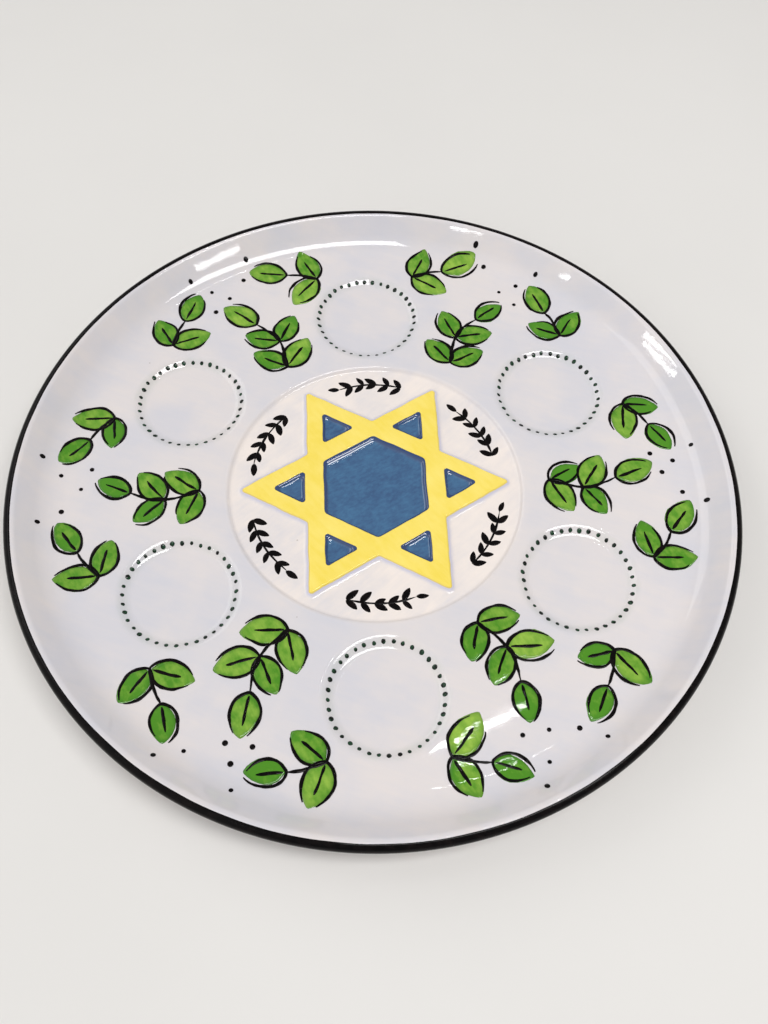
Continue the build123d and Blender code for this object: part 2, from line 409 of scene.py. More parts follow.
GEOMETRY = "NodeSocketGeometry"
FLOAT = "NodeSocketFloat"
INT = "NodeSocketInt"
VECTOR = "NodeSocketVector"
OBJECT = "NodeSocketObject"
MATERIAL = "NodeSocketMaterial"


def geometry_tree(name, inputs):
    """A geometry tree that starts from a geometry and these inputs and ends in one geometry."""
    sockets = [("Geometry", GEOMETRY, None), *inputs]
    return group(name, "GeometryNodeTree", sockets, [("Geometry", GEOMETRY)])


def new_piece(name, mesh):
    """An object for this mesh, in the scene."""
    piece = bpy.data.objects.new(name, mesh)
    bpy.context.scene.collection.objects.link(piece)
    return piece


def grown(name, tree, values, source=None):
    """A plain mesh piece made by a geometry tree from a source mesh, with the tree's inputs set by name."""
    piece = new_piece(name, source or bpy.data.meshes.new(name))
    modifier = piece.modifiers.new(name, "NODES")
    modifier.node_group = tree
    for item in tree.interface.items_tree:
        if item.in_out == "INPUT" and item.name in values:
            modifier[item.identifier] = values[item.name]
    settled = piece.evaluated_get(bpy.context.evaluated_depsgraph_get())
    mesh = bpy.data.meshes.new_from_object(settled)
    piece.modifiers.remove(modifier)
    source_mesh = piece.data
    piece.data = mesh
    mesh.name = name
    bpy.data.meshes.remove(source_mesh)
    if not mesh.polygons:
        raise RuntimeError(f"{name} came out empty")
    return piece


def faced_outwards(piece):
    """Turn a closed piece's faces outwards."""
    shell = bmesh.new()
    shell.from_mesh(piece.data)
    bmesh.ops.recalc_face_normals(shell, faces=shell.faces)
    shell.to_mesh(piece.data)
    shell.free()
    return piece


def kept(piece, slot, *nodes):
    """Hand a finished piece to the frame: it rides on the one body and stands for these nodes."""
    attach(piece, "root")
    if nodes:
        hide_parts(*nodes)


def line_mesh(name, lines, **attributes):
    """A mesh of open lines of points, with a number for each point in each named attribute."""
    mesh = bpy.data.meshes.new(name)
    points = [point for line in lines for point in line]
    edges = []
    start = 0
    for line in lines:
        edges += [(start + k, start + k + 1) for k in range(len(line) - 1)]
        start += len(line)
    mesh.from_pydata(points, edges, [])
    for attribute, values in attributes.items():
        layer = mesh.attributes.new(attribute, "FLOAT", "POINT")
        layer.data.foreach_set("value", values)
    return mesh


# Steps that several trees share

def named(wiring, name):
    """A number stored on each point."""
    return wiring("GeometryNodeInputNamedAttribute", {"Name": name}, data_type="FLOAT")


def stored(wiring, geometry, name, value, domain="POINT"):
    """Geometry with a number stored on each of its elements."""
    inputs = {"Geometry": geometry, "Name": name, "Value": value}
    return wiring("GeometryNodeStoreNamedAttribute", inputs, data_type="FLOAT", domain=domain)


def half_of(wiring, value):
    """Half of a value."""
    return wiring.math("MULTIPLY", value, 0.5)


def welded(wiring, geometry, distance=WELD):
    """Geometry with the points that meet made one."""
    return wiring("GeometryNodeMergeByDistance", {"Geometry": geometry, "Distance": distance})


def realized(wiring, geometry):
    """Instances as plain geometry."""
    return wiring("GeometryNodeRealizeInstances", {"Geometry": geometry})


def coated(wiring, geometry, material):
    """The end of a tree: smooth, plain and with its material."""
    smooth = wiring("GeometryNodeSetShadeSmooth", {"Geometry": geometry})
    plain = realized(wiring, smooth)
    return wiring("GeometryNodeSetMaterial", {"Geometry": plain, "Material": material})


# Shared effects, each a shader node group

def noise_value(wiring, vector, scale, detail=2.0, roughness=0.5):
    """Noise from 0 to 1 at this many waves a metre."""
    inputs = {"Vector": vector, "Scale": scale, "Detail": detail, "Roughness": roughness}
    return wiring("ShaderNodeTexNoise", inputs)


def object_place(wiring):
    """Where a point is in its piece."""
    return wiring.node("ShaderNodeTexCoord").outputs["Object"]


def glaze_ripple_group():
    """Height of the slow waves and fine brush marks under a clear glaze."""
    inputs = [("Waves", FLOAT, 70.0), ("Brush", FLOAT, 0.25)]
    wiring, enter, leave = group("Glaze Ripple", "ShaderNodeTree", inputs, [("Height", FLOAT)])
    place = object_place(wiring)
    slow = noise_value(wiring, place, enter["Waves"])
    stretched = wiring.vector("MULTIPLY", place, (1.0, 4.0, 1.0))
    fine = noise_value(wiring, stretched, 160.0, 3.0)
    wiring.feed(leave["Height"], wiring.math("MULTIPLY_ADD", fine, enter["Brush"], slow))
    return wiring.tree


def wash_group():
    """Soft cloudy patches of a brushed wash, from 0 to 1."""
    inputs = [("Scale", FLOAT, 28.0), ("Contrast", FLOAT, 0.16)]
    wiring, enter, leave = group("Wash", "ShaderNodeTree", inputs, [("Patch", FLOAT)])
    place = object_place(wiring)
    cloud = noise_value(wiring, place, enter["Scale"], 4.0, 0.55)
    low = wiring.math("SUBTRACT", 0.5, enter["Contrast"])
    high = wiring.math("ADD", 0.5, enter["Contrast"])
    wiring.feed(leave["Patch"], wiring.range(cloud, low, high, interpolation_type="SMOOTHSTEP"))
    return wiring.tree


def brush_group():
    """Streaks of a loaded brush drawn one way, from 0 to 1."""
    inputs = [("Across", FLOAT, 500.0), ("Along", FLOAT, 90.0), ("Direction", FLOAT, 0.6)]
    wiring, enter, leave = group("Brush Streaks", "ShaderNodeTree", inputs, [("Streak", FLOAT)])
    turn = {"Vector": object_place(wiring), "Angle": enter["Direction"]}
    turned = wiring("ShaderNodeVectorRotate", turn, rotation_type="Z_AXIS")
    along, across = enter["Along"], enter["Across"]
    stretched = wiring.vector("MULTIPLY", turned, wiring.joined(along, across, along))
    streak = noise_value(wiring, stretched, 1.0, 3.0, 0.6)
    wiring.feed(leave["Streak"], wiring.range(streak, 0.32, 0.68))
    return wiring.tree


def pinhole_group():
    """A few tiny pits and specks in a glaze, 1 inside each."""
    inputs = [("Spacing", FLOAT, 90.0), ("Size", FLOAT, 0.035)]
    wiring, enter, leave = group("Pinholes", "ShaderNodeTree", inputs, [("Speck", FLOAT)])
    cells = wiring.node("ShaderNodeTexVoronoi", {"Vector": object_place(wiring), "Scale": enter["Spacing"]})
    inside = wiring.math("LESS_THAN", cells.outputs["Distance"], enter["Size"])
    chosen = wiring.math("GREATER_THAN", wiring.parts(cells.outputs["Color"])[0], 0.8)
    wiring.feed(leave["Speck"], wiring.math("MULTIPLY", inside, chosen))
    return wiring.tree


def well_ring_group():
    """How far a point is from the middle of the nearest well."""
    inputs = [("Pitch Radius", FLOAT, PITCH_RADIUS), ("Wells", FLOAT, float(WELL_COUNT))]
    wiring, enter, leave = group("Well Distance", "ShaderNodeTree", inputs, [("Distance", FLOAT)])
    x, y, _ = wiring.parts(object_place(wiring))
    step = wiring.math("DIVIDE", tau, enter["Wells"])
    bearing = wiring.math("SUBTRACT", wiring.math("ARCTAN2", y, x), FIRST_WELL_ANGLE)
    half_step = half_of(wiring, step)
    nearest = wiring.math("WRAP", bearing, half_step, wiring.math("MULTIPLY", half_step, -1.0))
    radius = wiring.flat_length(x, y)
    across = wiring.math("MULTIPLY", radius, wiring.math("SINE", nearest))
    along = wiring.math("MULTIPLY", radius, wiring.math("COSINE", nearest))
    beyond = wiring.math("SUBTRACT", along, enter["Pitch Radius"])
    wiring.feed(leave["Distance"], wiring.flat_length(across, beyond))
    return wiring.tree


EFFECTS = {
    "ripple": glaze_ripple_group,
    "wash": wash_group,
    "brush": brush_group,
    "pinholes": pinhole_group,
    "well_ring": well_ring_group,
}


def effect(wiring, name, **inputs):
    """One shared effect in a material."""
    return shared(wiring, "ShaderNodeGroup", EFFECTS, name, inputs)


# Materials

UNDERSIDE_MARGIN = 1 * MM  # cream and stain start this far over the underside

# How strongly the stain, the specks and the line round the star's yellow show
STAIN_SHARE = 0.13
SPECK_SHARE = 0.35
EDGE_SHARE = 0.4


def glaze_material(name, roughness, paint, refraction=1.5):
    """A glossy material whose colour comes from paint, a function of its wiring and shader."""
    made = bpy.data.materials.get(name)
    if made:
        return made
    made = bpy.data.materials.new(name)
    made.use_nodes = True
    shader = made.node_tree.nodes["Principled BSDF"]
    shader.inputs["Roughness"].default_value = roughness
    shader.inputs["IOR"].default_value = refraction
    wiring = Wiring(made.node_tree)
    paint(wiring, shader)
    return made


def ripple_normal(wiring, shader, depth, waves=70.0, brush=0.25):
    """Let a glaze ripple of this depth bend the shader's reflections."""
    height = effect(wiring, "ripple", Waves=waves, Brush=brush)
    inputs = {"Strength": 1.0, "Distance": depth, "Height": height}
    wiring.feed(shader.inputs["Normal"], wiring("ShaderNodeBump", inputs))


def band_mask(wiring, value, middle, half_width, soft):
    """1 within half the width of the middle value, falling to 0 over a soft edge."""
    away = wiring.math("ABSOLUTE", wiring.math("SUBTRACT", value, middle))
    return wiring.range(away, half_width + soft, half_width, interpolation_type="SMOOTHSTEP")


def upper_side(wiring, body):
    """1 on the plate's upper side and 0 underneath."""
    z = wiring.parts(object_place(wiring))[2]
    return wiring.math("GREATER_THAN", z, body.foot_height + UNDERSIDE_MARGIN)


def uneven_height(wiring, waves, spread):
    """A point's height, off by noise of this many waves a metre and this spread."""
    place = object_place(wiring)
    stray = wiring.weighted(-spread / 2, (noise_value(wiring, place, waves), spread))
    return wiring.math("ADD", wiring.parts(place)[2], stray)


def white_wash(wiring, sizes, patch):
    """Colour of the white wash: cool and creamy patches, creamier and mottled inside the star's recess."""
    x, y, _ = wiring.parts(object_place(wiring))
    streak = effect(wiring, "brush", Across=220.0, Along=40.0, Direction=0.4)
    warm = wiring.weighted(0.0, (patch, 0.5), (streak, 0.22))
    wash = wiring.blend(warm, sizes.glaze.white_cool, sizes.glaze.white_warm)
    strokes = effect(wiring, "brush", Across=260.0, Along=60.0, Direction=-0.7)
    mottle = effect(wiring, "wash", Scale=60.0, Contrast=0.2)
    creamy = wiring.weighted(0.2, (mottle, 0.5), (strokes, 0.4))
    edge = sizes.body.recess_radius
    inside = wiring.range(wiring.flat_length(x, y), edge + 1 * MM, edge - 2 * MM)
    cream = wiring.product(inside, upper_side(wiring, sizes.body), creamy)
    return wiring.blend(cream, wash, sizes.glaze.cream)


def white_glaze(sizes):
    """White wash under clear glaze, with a green stain by the dots and a bare foot."""
    glaze, body = sizes.glaze, sizes.body

    def paint(wiring, shader):
        z = wiring.parts(object_place(wiring))[2]
        patch = effect(wiring, "wash")
        base = white_wash(wiring, sizes, patch)
        distance = effect(wiring, "well_ring")
        ring = band_mask(wiring, distance, body.well_radius - body.well_wall / 2, 1.2 * MM, 2.2 * MM)
        stain_patch = effect(wiring, "wash", Scale=160.0, Contrast=0.2)
        stain = wiring.product(ring, upper_side(wiring, body), stain_patch, STAIN_SHARE)
        base = wiring.blend(stain, base, glaze.stain)
        specks = wiring.math("MULTIPLY", effect(wiring, "pinholes"), SPECK_SHARE)
        base = wiring.blend(specks, base, glaze.speck)
        bare = wiring.range(z, 1.3 * MM, 0.7 * MM)
        base = wiring.blend(bare, base, glaze.clay)
        wiring.feed(shader.inputs["Base Color"], base)
        rough = wiring.weighted(0.02, (patch, 0.012), (bare, 0.6))
        wiring.feed(shader.inputs["Roughness"], rough)
        ripple_normal(wiring, shader, 0.02 * MM, brush=0.12)

    return glaze_material("brushed_white", 0.04, paint)


def yellow_glaze(sizes):
    """Brushed yellow on the star's top; down its sides a painted lavender shade, partly a bluish tint,
    fading into the white wash at the foot.
    """
    glaze = sizes.glaze

    def paint(wiring, shader):
        streak = effect(wiring, "brush", Across=420.0, Along=110.0, Direction=0.9)
        patch = effect(wiring, "wash", Scale=70.0, Contrast=0.2)
        thin = half_of(wiring, wiring.math("ADD", streak, patch))
        yellow = wiring.blend(thin, glaze.yellow, glaze.yellow_thin)
        height = uneven_height(wiring, 260.0, 0.5 * MM)
        wash = white_wash(wiring, sizes, effect(wiring, "wash"))
        # Painted shade: the star's sides turn lavender grey above the foot, mostly standing in for shade,
        # partly a bluish tint
        shaded = wiring.range(height, RECESS_FLOOR + 0.05 * MM, RECESS_FLOOR + 0.7 * MM, 0.0, 0.9)
        skirt_shade = wiring.blend(shaded, wash, glaze.skirt_shade)
        top = wiring.range(height, STAR_TOP - 0.75 * MM, STAR_TOP - 0.45 * MM)
        base = wiring.blend(top, skirt_shade, yellow)
        line = band_mask(wiring, height, STAR_TOP - 0.5 * MM, 0.06 * MM, 0.18 * MM)
        edge = wiring.math("MULTIPLY", line, EDGE_SHARE)
        wiring.feed(shader.inputs["Base Color"], wiring.blend(edge, base, glaze.yellow_edge))
        ripple_normal(wiring, shader, 0.012 * MM, 150.0)

    return glaze_material("brushed_yellow", 0.04, paint)


def blue_glaze(sizes):
    """Brushed blue enamel, darker towards its upper edge along the windows' walls."""
    glaze, star = sizes.glaze, sizes.star

    def paint(wiring, shader):
        streak = effect(wiring, "brush", Across=900.0, Along=430.0, Direction=-0.5)
        patch = effect(wiring, "wash", Scale=130.0, Contrast=0.3)
        thin = wiring.weighted(0.26, (patch, 0.36), (streak, 0.36))
        height = uneven_height(wiring, 240.0, 0.9 * MM)
        floor = STAR_TOP - star.pool_depth
        # Darker blue towards the pool's upper edge, up its wall and over its shelf
        wall = wiring.range(height, floor + 0.1 * MM, floor + 0.7 * MM, 1.0, 0.12)
        base = wiring.blend(wiring.math("MULTIPLY", thin, wall), glaze.blue_deep, glaze.blue)
        wiring.feed(shader.inputs["Base Color"], base)
        ripple_normal(wiring, shader, 0.006 * MM, 220.0, 0.5)

    return glaze_material("brushed_blue", 0.025, paint, refraction=1.8)


def black_glaze(sizes):
    """Brushed black, brownish where it thins."""
    glaze = sizes.glaze

    def paint(wiring, shader):
        streak = effect(wiring, "brush", Across=700.0, Along=160.0, Direction=0.2)
        patch = effect(wiring, "wash", Scale=300.0, Contrast=0.2)
        thin = wiring.math("MULTIPLY", streak, patch)
        wiring.feed(shader.inputs["Base Color"], wiring.blend(thin, glaze.black, glaze.brown_black))
        ripple_normal(wiring, shader, 0.02 * MM, 180.0)

    return glaze_material("brushed_black", 0.045, paint, refraction=1.2)


def dot_glaze(sizes):
    """Blackish green of the dots, with greener thin spots."""
    glaze = sizes.glaze

    def paint(wiring, shader):
        patch = effect(wiring, "wash", Scale=420.0, Contrast=0.15)
        wiring.feed(shader.inputs["Base Color"], wiring.blend(patch, glaze.black, glaze.dot))
        ripple_normal(wiring, shader, 0.03 * MM, 500.0)

    return glaze_material("dotted_green", 0.07, paint, refraction=1.36)


def green_glaze(sizes):
    """Leaf green laid on with a loaded brush: pale where it thins, deep where it pools."""
    glaze = sizes.glaze

    def paint(wiring, shader):
        tone = wiring.node("ShaderNodeAttribute", attribute_name="leaf_tone").outputs["Fac"]
        edge = wiring.node("ShaderNodeAttribute", attribute_name="leaf_edge").outputs["Fac"]
        patch = effect(wiring, "wash", Scale=190.0, Contrast=0.2)
        streak = effect(wiring, "brush", Across=520.0, Along=150.0, Direction=1.1)
        pale = wiring.weighted(-0.65, (patch, 0.5), (streak, 0.35), (tone, 0.9))
        base = wiring.blend(wiring.range(pale, 0.0, 1.0), glaze.green, glaze.green_pale)
        pooled = wiring.range(edge, 0.72, 0.98, 0.0, 0.45)
        base = wiring.blend(pooled, base, glaze.green_deep)
        wiring.feed(shader.inputs["Base Color"], base)
        ripple_normal(wiring, shader, 0.025 * MM, 200.0, 0.5)

    return glaze_material("brushed_green", 0.04, paint)


def studio_floor_material(sizes):
    """Matt pale floor with the faintest mottle."""
    def paint(wiring, shader):
        patch = effect(wiring, "wash", Scale=6.0, Contrast=0.3)
        pale = sizes.glaze.floor
        shade = [0.97 * value for value in pale[:3]] + [1.0]
        wiring.feed(shader.inputs["Base Color"], wiring.blend(patch, pale, shade))

    return glaze_material("studio_floor", 0.7, paint)


# The earthenware body

def lathe_group():
    """Turns a profile curve of radius and height round Z into a mesh."""
    inputs = [("Profile", GEOMETRY, None), ("Segments", INT, 96)]
    wiring, enter, leave = group("Lathe", "GeometryNodeTree", inputs, [("Mesh", GEOMETRY)])
    segments = enter["Segments"]
    points = wiring("GeometryNodeCurveToPoints", {"Curve": enter["Profile"]}, mode="EVALUATED")
    rows = wiring("GeometryNodeAttributeDomainSize", {"Geometry": points}, component="POINTCLOUD")
    last_row = wiring.math("SUBTRACT", rows, 1.0)
    columns = wiring.math("ADD", segments, 1.0)
    grid = wiring(
        "GeometryNodeMeshGrid",
        {"Size X": segments, "Size Y": last_row, "Vertices X": columns, "Vertices Y": rows},
    )
    x, y, _ = wiring.parts(wiring("GeometryNodeInputPosition"))
    column = wiring.math("ROUND", wiring.math("MULTIPLY_ADD", segments, 0.5, x))
    row = wiring.math("ROUND", wiring.math("MULTIPLY_ADD", last_row, 0.5, y))
    part = wiring.math("DIVIDE", wiring.math("MODULO", column, segments), segments)
    turn = wiring.math("MULTIPLY", part, tau)
    spot = wiring(
        "GeometryNodeSampleIndex",
        {"Geometry": points, "Value": wiring("GeometryNodeInputPosition"), "Index": row},
        data_type="FLOAT_VECTOR",
    )
    radius, _, height = wiring.parts(spot)
    turned = wiring.moved(grid, position=wiring.polar(radius, turn, height))
    wiring.feed(leave["Mesh"], welded(wiring, turned))
    return wiring.tree


RIM_PROFILE, WELL_PROFILE, RECESS_PROFILE = 0, 1, 2
FILLET_SHARE = 0.999  # of the room for it, so that two roundings side by side don't overlap


def body_tree():
    """The glazed body: a turned rim and foot, a flat floor, and the wells and recess let into it."""
    inputs = [
        ("Rim Segments", INT, 288),
        ("Well Segments", INT, 120),
        ("Rounding Steps", INT, 10),
        ("Wells", INT, 6),
        ("Pitch Radius", FLOAT, 0.1),
        ("First Well", FLOAT, 0.0),
        ("Floor Height", FLOAT, 0.01),
        ("Floor Radius", FLOAT, 0.1),
        ("Well Radius", FLOAT, 0.02),
        ("Recess Radius", FLOAT, 0.06),
        ("Material", MATERIAL, None),
    ]
    wiring, enter, leave = geometry_tree("Plate Body", inputs)
    lathe = lathe_group()

    def turned(profile, segments):
        chosen = wiring.math("COMPARE", named(wiring, "profile"), float(profile), 0.1)
        line = wiring("GeometryNodeSeparateGeometry", {"Geometry": enter["Geometry"], "Selection": chosen})
        curve = wiring(
            "GeometryNodeFilletCurve",
            {
                "Curve": wiring("GeometryNodeMeshToCurve", {"Mesh": line}),
                "Count": enter["Rounding Steps"],
                "Radius": named(wiring, "rounding"),
            },
            mode="POLY",
        )
        return placed(wiring, "GeometryNodeGroup", lathe, {"Profile": curve, "Segments": segments})[0]

    def ring(segments, radius):
        return wiring("GeometryNodeCurvePrimitiveCircle", {"Resolution": segments, "Radius": radius})

    circle = wiring("GeometryNodeMeshCircle", {"Vertices": enter["Wells"], "Radius": enter["Pitch Radius"]})
    first_well = wiring.joined(0.0, 0.0, enter["First Well"])
    middles = wiring("GeometryNodeTransform", {"Geometry": circle, "Rotation": first_well})

    def at_wells(geometry):
        inputs = {"Points": middles, "Instance": geometry}
        return realized(wiring, wiring("GeometryNodeInstanceOnPoints", inputs))

    outlines = wiring.together(
        ring(enter["Rim Segments"], enter["Floor Radius"]),
        ring(enter["Rim Segments"], enter["Recess Radius"]),
        at_wells(ring(enter["Well Segments"], enter["Well Radius"])),
    )
    filled = wiring("GeometryNodeFillCurve", {"Curve": outlines}, mode="TRIANGLES")
    level = wiring.joined(0.0, 0.0, enter["Floor Height"])
    floor = wiring("GeometryNodeTransform", {"Geometry": filled, "Translation": level})
    whole = wiring.together(
        turned(RIM_PROFILE, enter["Rim Segments"]),
        turned(RECESS_PROFILE, enter["Rim Segments"]),
        at_wells(turned(WELL_PROFILE, enter["Well Segments"])),
        floor,
    )
    whole = welded(wiring, whole, 5 * WELD)
    wiring.feed(leave["Geometry"], coated(wiring, whole, enter["Material"]))
    return wiring.tree


def lip_centre(body):
    """Middle of the rounded lip, as plate radius and height."""
    return PLATE_RADIUS - body.thickness / 2, RIM_TOP - body.thickness / 2


def floor_radius(body):
    """Where the plate's flat floor starts to curve up into the rim."""
    half = body.thickness / 2
    across, up = lip_centre(body)
    rise = up + half * cos(body.rim_angle) - body.floor_height
    wall_foot = across - half * sin(body.rim_angle) - rise / tan(body.rim_angle)
    return wall_foot - body.rim_curve * tan(body.rim_angle / 2)


def rim_profile(body, paint):
    """Corners of the rim, lip, underside and foot, each as radius, height and rounding."""
    along = Vector((cos(body.rim_angle), sin(body.rim_angle)))
    inwards = Vector((-along.y, along.x))
    half = body.thickness / 2 - paint.film
    lip = Vector(lip_centre(body))
    inner_lip = lip + (along + inwards) * half
    outer_lip = lip + (along - inwards) * half
    start = floor_radius(body)
    under_curve = body.rim_curve + body.thickness
    foot_outer = FOOT_MIDDLE + body.foot_width / 2
    foot_inner = FOOT_MIDDLE - body.foot_width / 2
    lip_round = half * FILLET_SHARE
    wall_foot = Vector((start + body.rim_curve * tan(body.rim_angle / 2), body.floor_height))
    wall_top = inner_lip - (inner_lip - wall_foot).normalized() * (half + body.lip_margin)
    return [
        (start - body.seam, body.floor_height, 0.0),
        (*wall_foot, body.rim_curve),
        (*wall_top, 0.0),
        (*inner_lip, lip_round),
        (*outer_lip, lip_round),
        (start + under_curve * tan(body.rim_angle / 2), body.foot_height, under_curve),
        (foot_outer + body.foot_flare, body.foot_height, body.foot_round),
        (foot_outer, 0.0, body.foot_round),
        (foot_inner, 0.0, body.foot_round),
        (foot_inner - body.foot_flare, body.foot_height, body.foot_round),
        (0.0, body.foot_height, 0.0),
    ]


def recess_profile(body, radius, wall, rounding, bottom):
    """Corners of a round recess from its middle to the floor round it, as radius, height and rounding."""
    return [
        (0.0, bottom, 0.0),
        (radius - wall, bottom, rounding),
        (radius, body.floor_height, rounding),
        (radius + body.seam, body.floor_height, 0.0),
    ]


class SEDER_OT_body(bpy.types.Operator):
    """Turn the glazed body with its rim, wells, recess and foot ring"""

    bl_idname = "seder.body"
    bl_label = "Glazed Body"

    def execute(self, context):
        sizes = context.scene.seder_plate
        body, paint = sizes.body, sizes.paint
        profiles = [
            rim_profile(body, paint),
            recess_profile(body, body.well_radius, body.well_wall, body.well_round, WELL_FLOOR),
            recess_profile(body, body.recess_radius, body.recess_wall, body.recess_round, RECESS_FLOOR),
        ]
        lines = [[(radius, 0.0, height) for radius, height, _ in profile] for profile in profiles]
        owners = [float(k) for k, profile in enumerate(profiles) for _ in profile]
        rounding = [corner[2] for profile in profiles for corner in profile]
        source = line_mesh("profiles", lines, profile=owners, rounding=rounding)
        values = {
            "Rim Segments": body.rim_segments,
            "Well Segments": body.well_segments,
            "Rounding Steps": body.round_steps,
            "Wells": WELL_COUNT,
            "Pitch Radius": PITCH_RADIUS,
            "First Well": FIRST_WELL_ANGLE,
            "Floor Height": body.floor_height,
            "Floor Radius": floor_radius(body) - body.seam,
            "Well Radius": body.well_radius + body.seam,
            "Recess Radius": body.recess_radius + body.seam,
            "Material": white_glaze(sizes),
        }
        piece = faced_outwards(grown("glazed_body", body_tree(), values, source))
        kept(piece, "white_glaze", "plate_body")
        return {"FINISHED"}


# The star and the enamel in its windows

STRAY_SEED = 1
STRAY_WAVES = 150  # a metre, along the brushed edges
POOL_WAVES = 300  # a metre, over the enamel's floor
WINDOW_COUNT = 7


def polar(radius, bearing):
    """A flat point from its radius and bearing."""
    return Vector((radius * cos(bearing), radius * sin(bearing)))


def star_corners(tip):
    """Corners of a six-pointed star, points and notches in turn."""
    return [polar(tip / (1, sqrt(3))[k % 2], radians(30 * k)) for k in range(12)]


def window_corners(star, number, inset):
    """Corners of the middle window, number 0, or of a point's window, narrowed by an inset."""
    middle = star.radius / 2 - star.bar
    if number == 0:
        return [polar((middle - inset) / cos(pi / 6), radians(30 + 60 * k)) for k in range(6)]
    apex = star.radius - 2 * star.bar - 2 * inset
    base = middle + star.crossbar + inset
    half = (apex - base) * tan(pi / 6)
    turn = Matrix.Rotation((number - 1) * pi / 3, 2)
    return [turn @ Vector(corner) for corner in ((apex, 0.0), (base, half), (base, -half))]


def rounded(corners, radii, steps=6, between=15):
    """A closed outline: each corner an arc of its own radius, with points between the arcs."""
    arcs = []
    for k, corner in enumerate(corners):
        arrive = (corner - corners[k - 1]).normalized()
        leave = (corners[(k + 1) % len(corners)] - corner).normalized()
        turn = atan2(arrive.x * leave.y - arrive.y * leave.x, arrive.dot(leave))
        radius = radii[k % len(radii)]
        start = corner - arrive * radius * tan(abs(turn) / 2)
        side = Vector((-arrive.y, arrive.x)) * (radius if turn > 0 else -radius)
        spins = [Matrix.Rotation(turn * step / steps, 2) for step in range(steps + 1)]
        arcs.append([start + side - spin @ side for spin in spins])
    outline = []
    for arc, following in zip(arcs, arcs[1:] + arcs[:1]):
        outline += arc
        outline += [arc[-1].lerp(following[0], k / (between + 1)) for k in range(1, between + 1)]
    return outline


def strayed(outline, size):
    """An outline as a hand draws it: each point off by a smooth stray set by its place alone."""
    noise.seed_set(STRAY_SEED)
    drifts = [noise.noise_vector(point.to_3d() * STRAY_WAVES) for point in outline]
    return [point + size * drift.to_2d() for point, drift in zip(outline, drifts)]


def window_outline(star, number, inset, fill=0.0):
    """A window's brushed outline, narrowed by an inset, its corners rounder by a fill."""
    corner_round = star.triangle_round if number else star.hexagon_round
    corners = window_corners(star, number, inset)
    return strayed(rounded(corners, (corner_round - inset / 2 + fill,)), star.edge_stray)


def add_loop(shell, outline, height):
    """The vertices of one closed outline at this height."""
    return [shell.verts.new((point.x, point.y, height)) for point in outline]


def bridge(shell, loops):
    """Faces between each closed loop of vertices and the next."""
    for lower, upper in zip(loops, loops[1:]):
        for k in range(len(lower)):
            shell.faces.new((lower[k - 1], lower[k], upper[k], upper[k - 1]))


def loop_edges(shell, loop):
    """The edges round a closed loop of vertices."""
    ends = [(loop[k - 1], loop[k]) for k in range(len(loop))]
    return [shell.edges.get(pair) or shell.edges.new(pair) for pair in ends]


def shell_piece(name, shell, material):
    """A smooth closed piece from a shell, faces outwards."""
    bmesh.ops.recalc_face_normals(shell, faces=shell.faces)
    for face in shell.faces:
        face.smooth = True
    mesh = bpy.data.meshes.new(name)
    shell.to_mesh(mesh)
    shell.free()
    mesh.materials.append(material)
    return new_piece(name, mesh)


class SEDER_OT_star(bpy.types.Operator):
    """Raise the star with its spreading sides and seven windows"""

    bl_idname = "seder.star"
    bl_label = "Star"

    def execute(self, context):
        sizes = context.scene.seder_plate
        star = sizes.star
        shell = bmesh.new()
        outer = []
        steps = 20
        for step in range(steps + 1):
            rise = step / steps
            spread = star.flare * (1 - rise)
            corners = star_corners(star.radius + 2 * spread)
            outline = rounded(corners, (star.tip_round + spread, star.notch_round))
            height = RECESS_FLOOR + (STAR_TOP - RECESS_FLOOR) * self.lift(rise)
            outer.append(add_loop(shell, strayed(outline, star.edge_stray), height))
        bridge(shell, outer)
        tops, bottoms = [outer[-1]], [outer[0]]
        for number in range(WINDOW_COUNT):
            loops = self.window_wall(shell, star, number)
            tops.append(loops[0])
            bottoms.append(loops[-1])
        for loops in (tops, bottoms):
            edges = [edge for loop in loops for edge in loop_edges(shell, loop)]
            bmesh.ops.triangle_fill(shell, use_beauty=True, edges=edges)
        for edge in loop_edges(shell, outer[0]):
            edge.smooth = False
        kept(shell_piece("star", shell, yellow_glaze(sizes)), "yellow_glaze", "star_relief")
        return {"FINISHED"}

    def lift(self, rise):
        """Height of the star's side, as a share: a hollow foot that steepens, then a soft top edge."""
        soft_from = 0.86
        if rise < soft_from:
            return rise * rise / soft_from
        beyond = rise - soft_from
        return soft_from + 2 * beyond - beyond * beyond / (1 - soft_from)

    def window_wall(self, shell, star, number):
        """Loops down one window's wall, from its soft top edge to the recess."""
        soft = star.edge_round
        turns = [radians(15 * k) for k in range(6)]
        levels = [(soft * (sin(turn) - 1), soft * (1 - cos(turn))) for turn in turns]
        levels.append((star.window_flare, STAR_TOP - RECESS_FLOOR))
        loops = []
        for inset, drop in levels:
            outline = window_outline(star, number, inset)
            loops.append(add_loop(shell, outline, STAR_TOP - drop))
        bridge(shell, loops)
        return loops


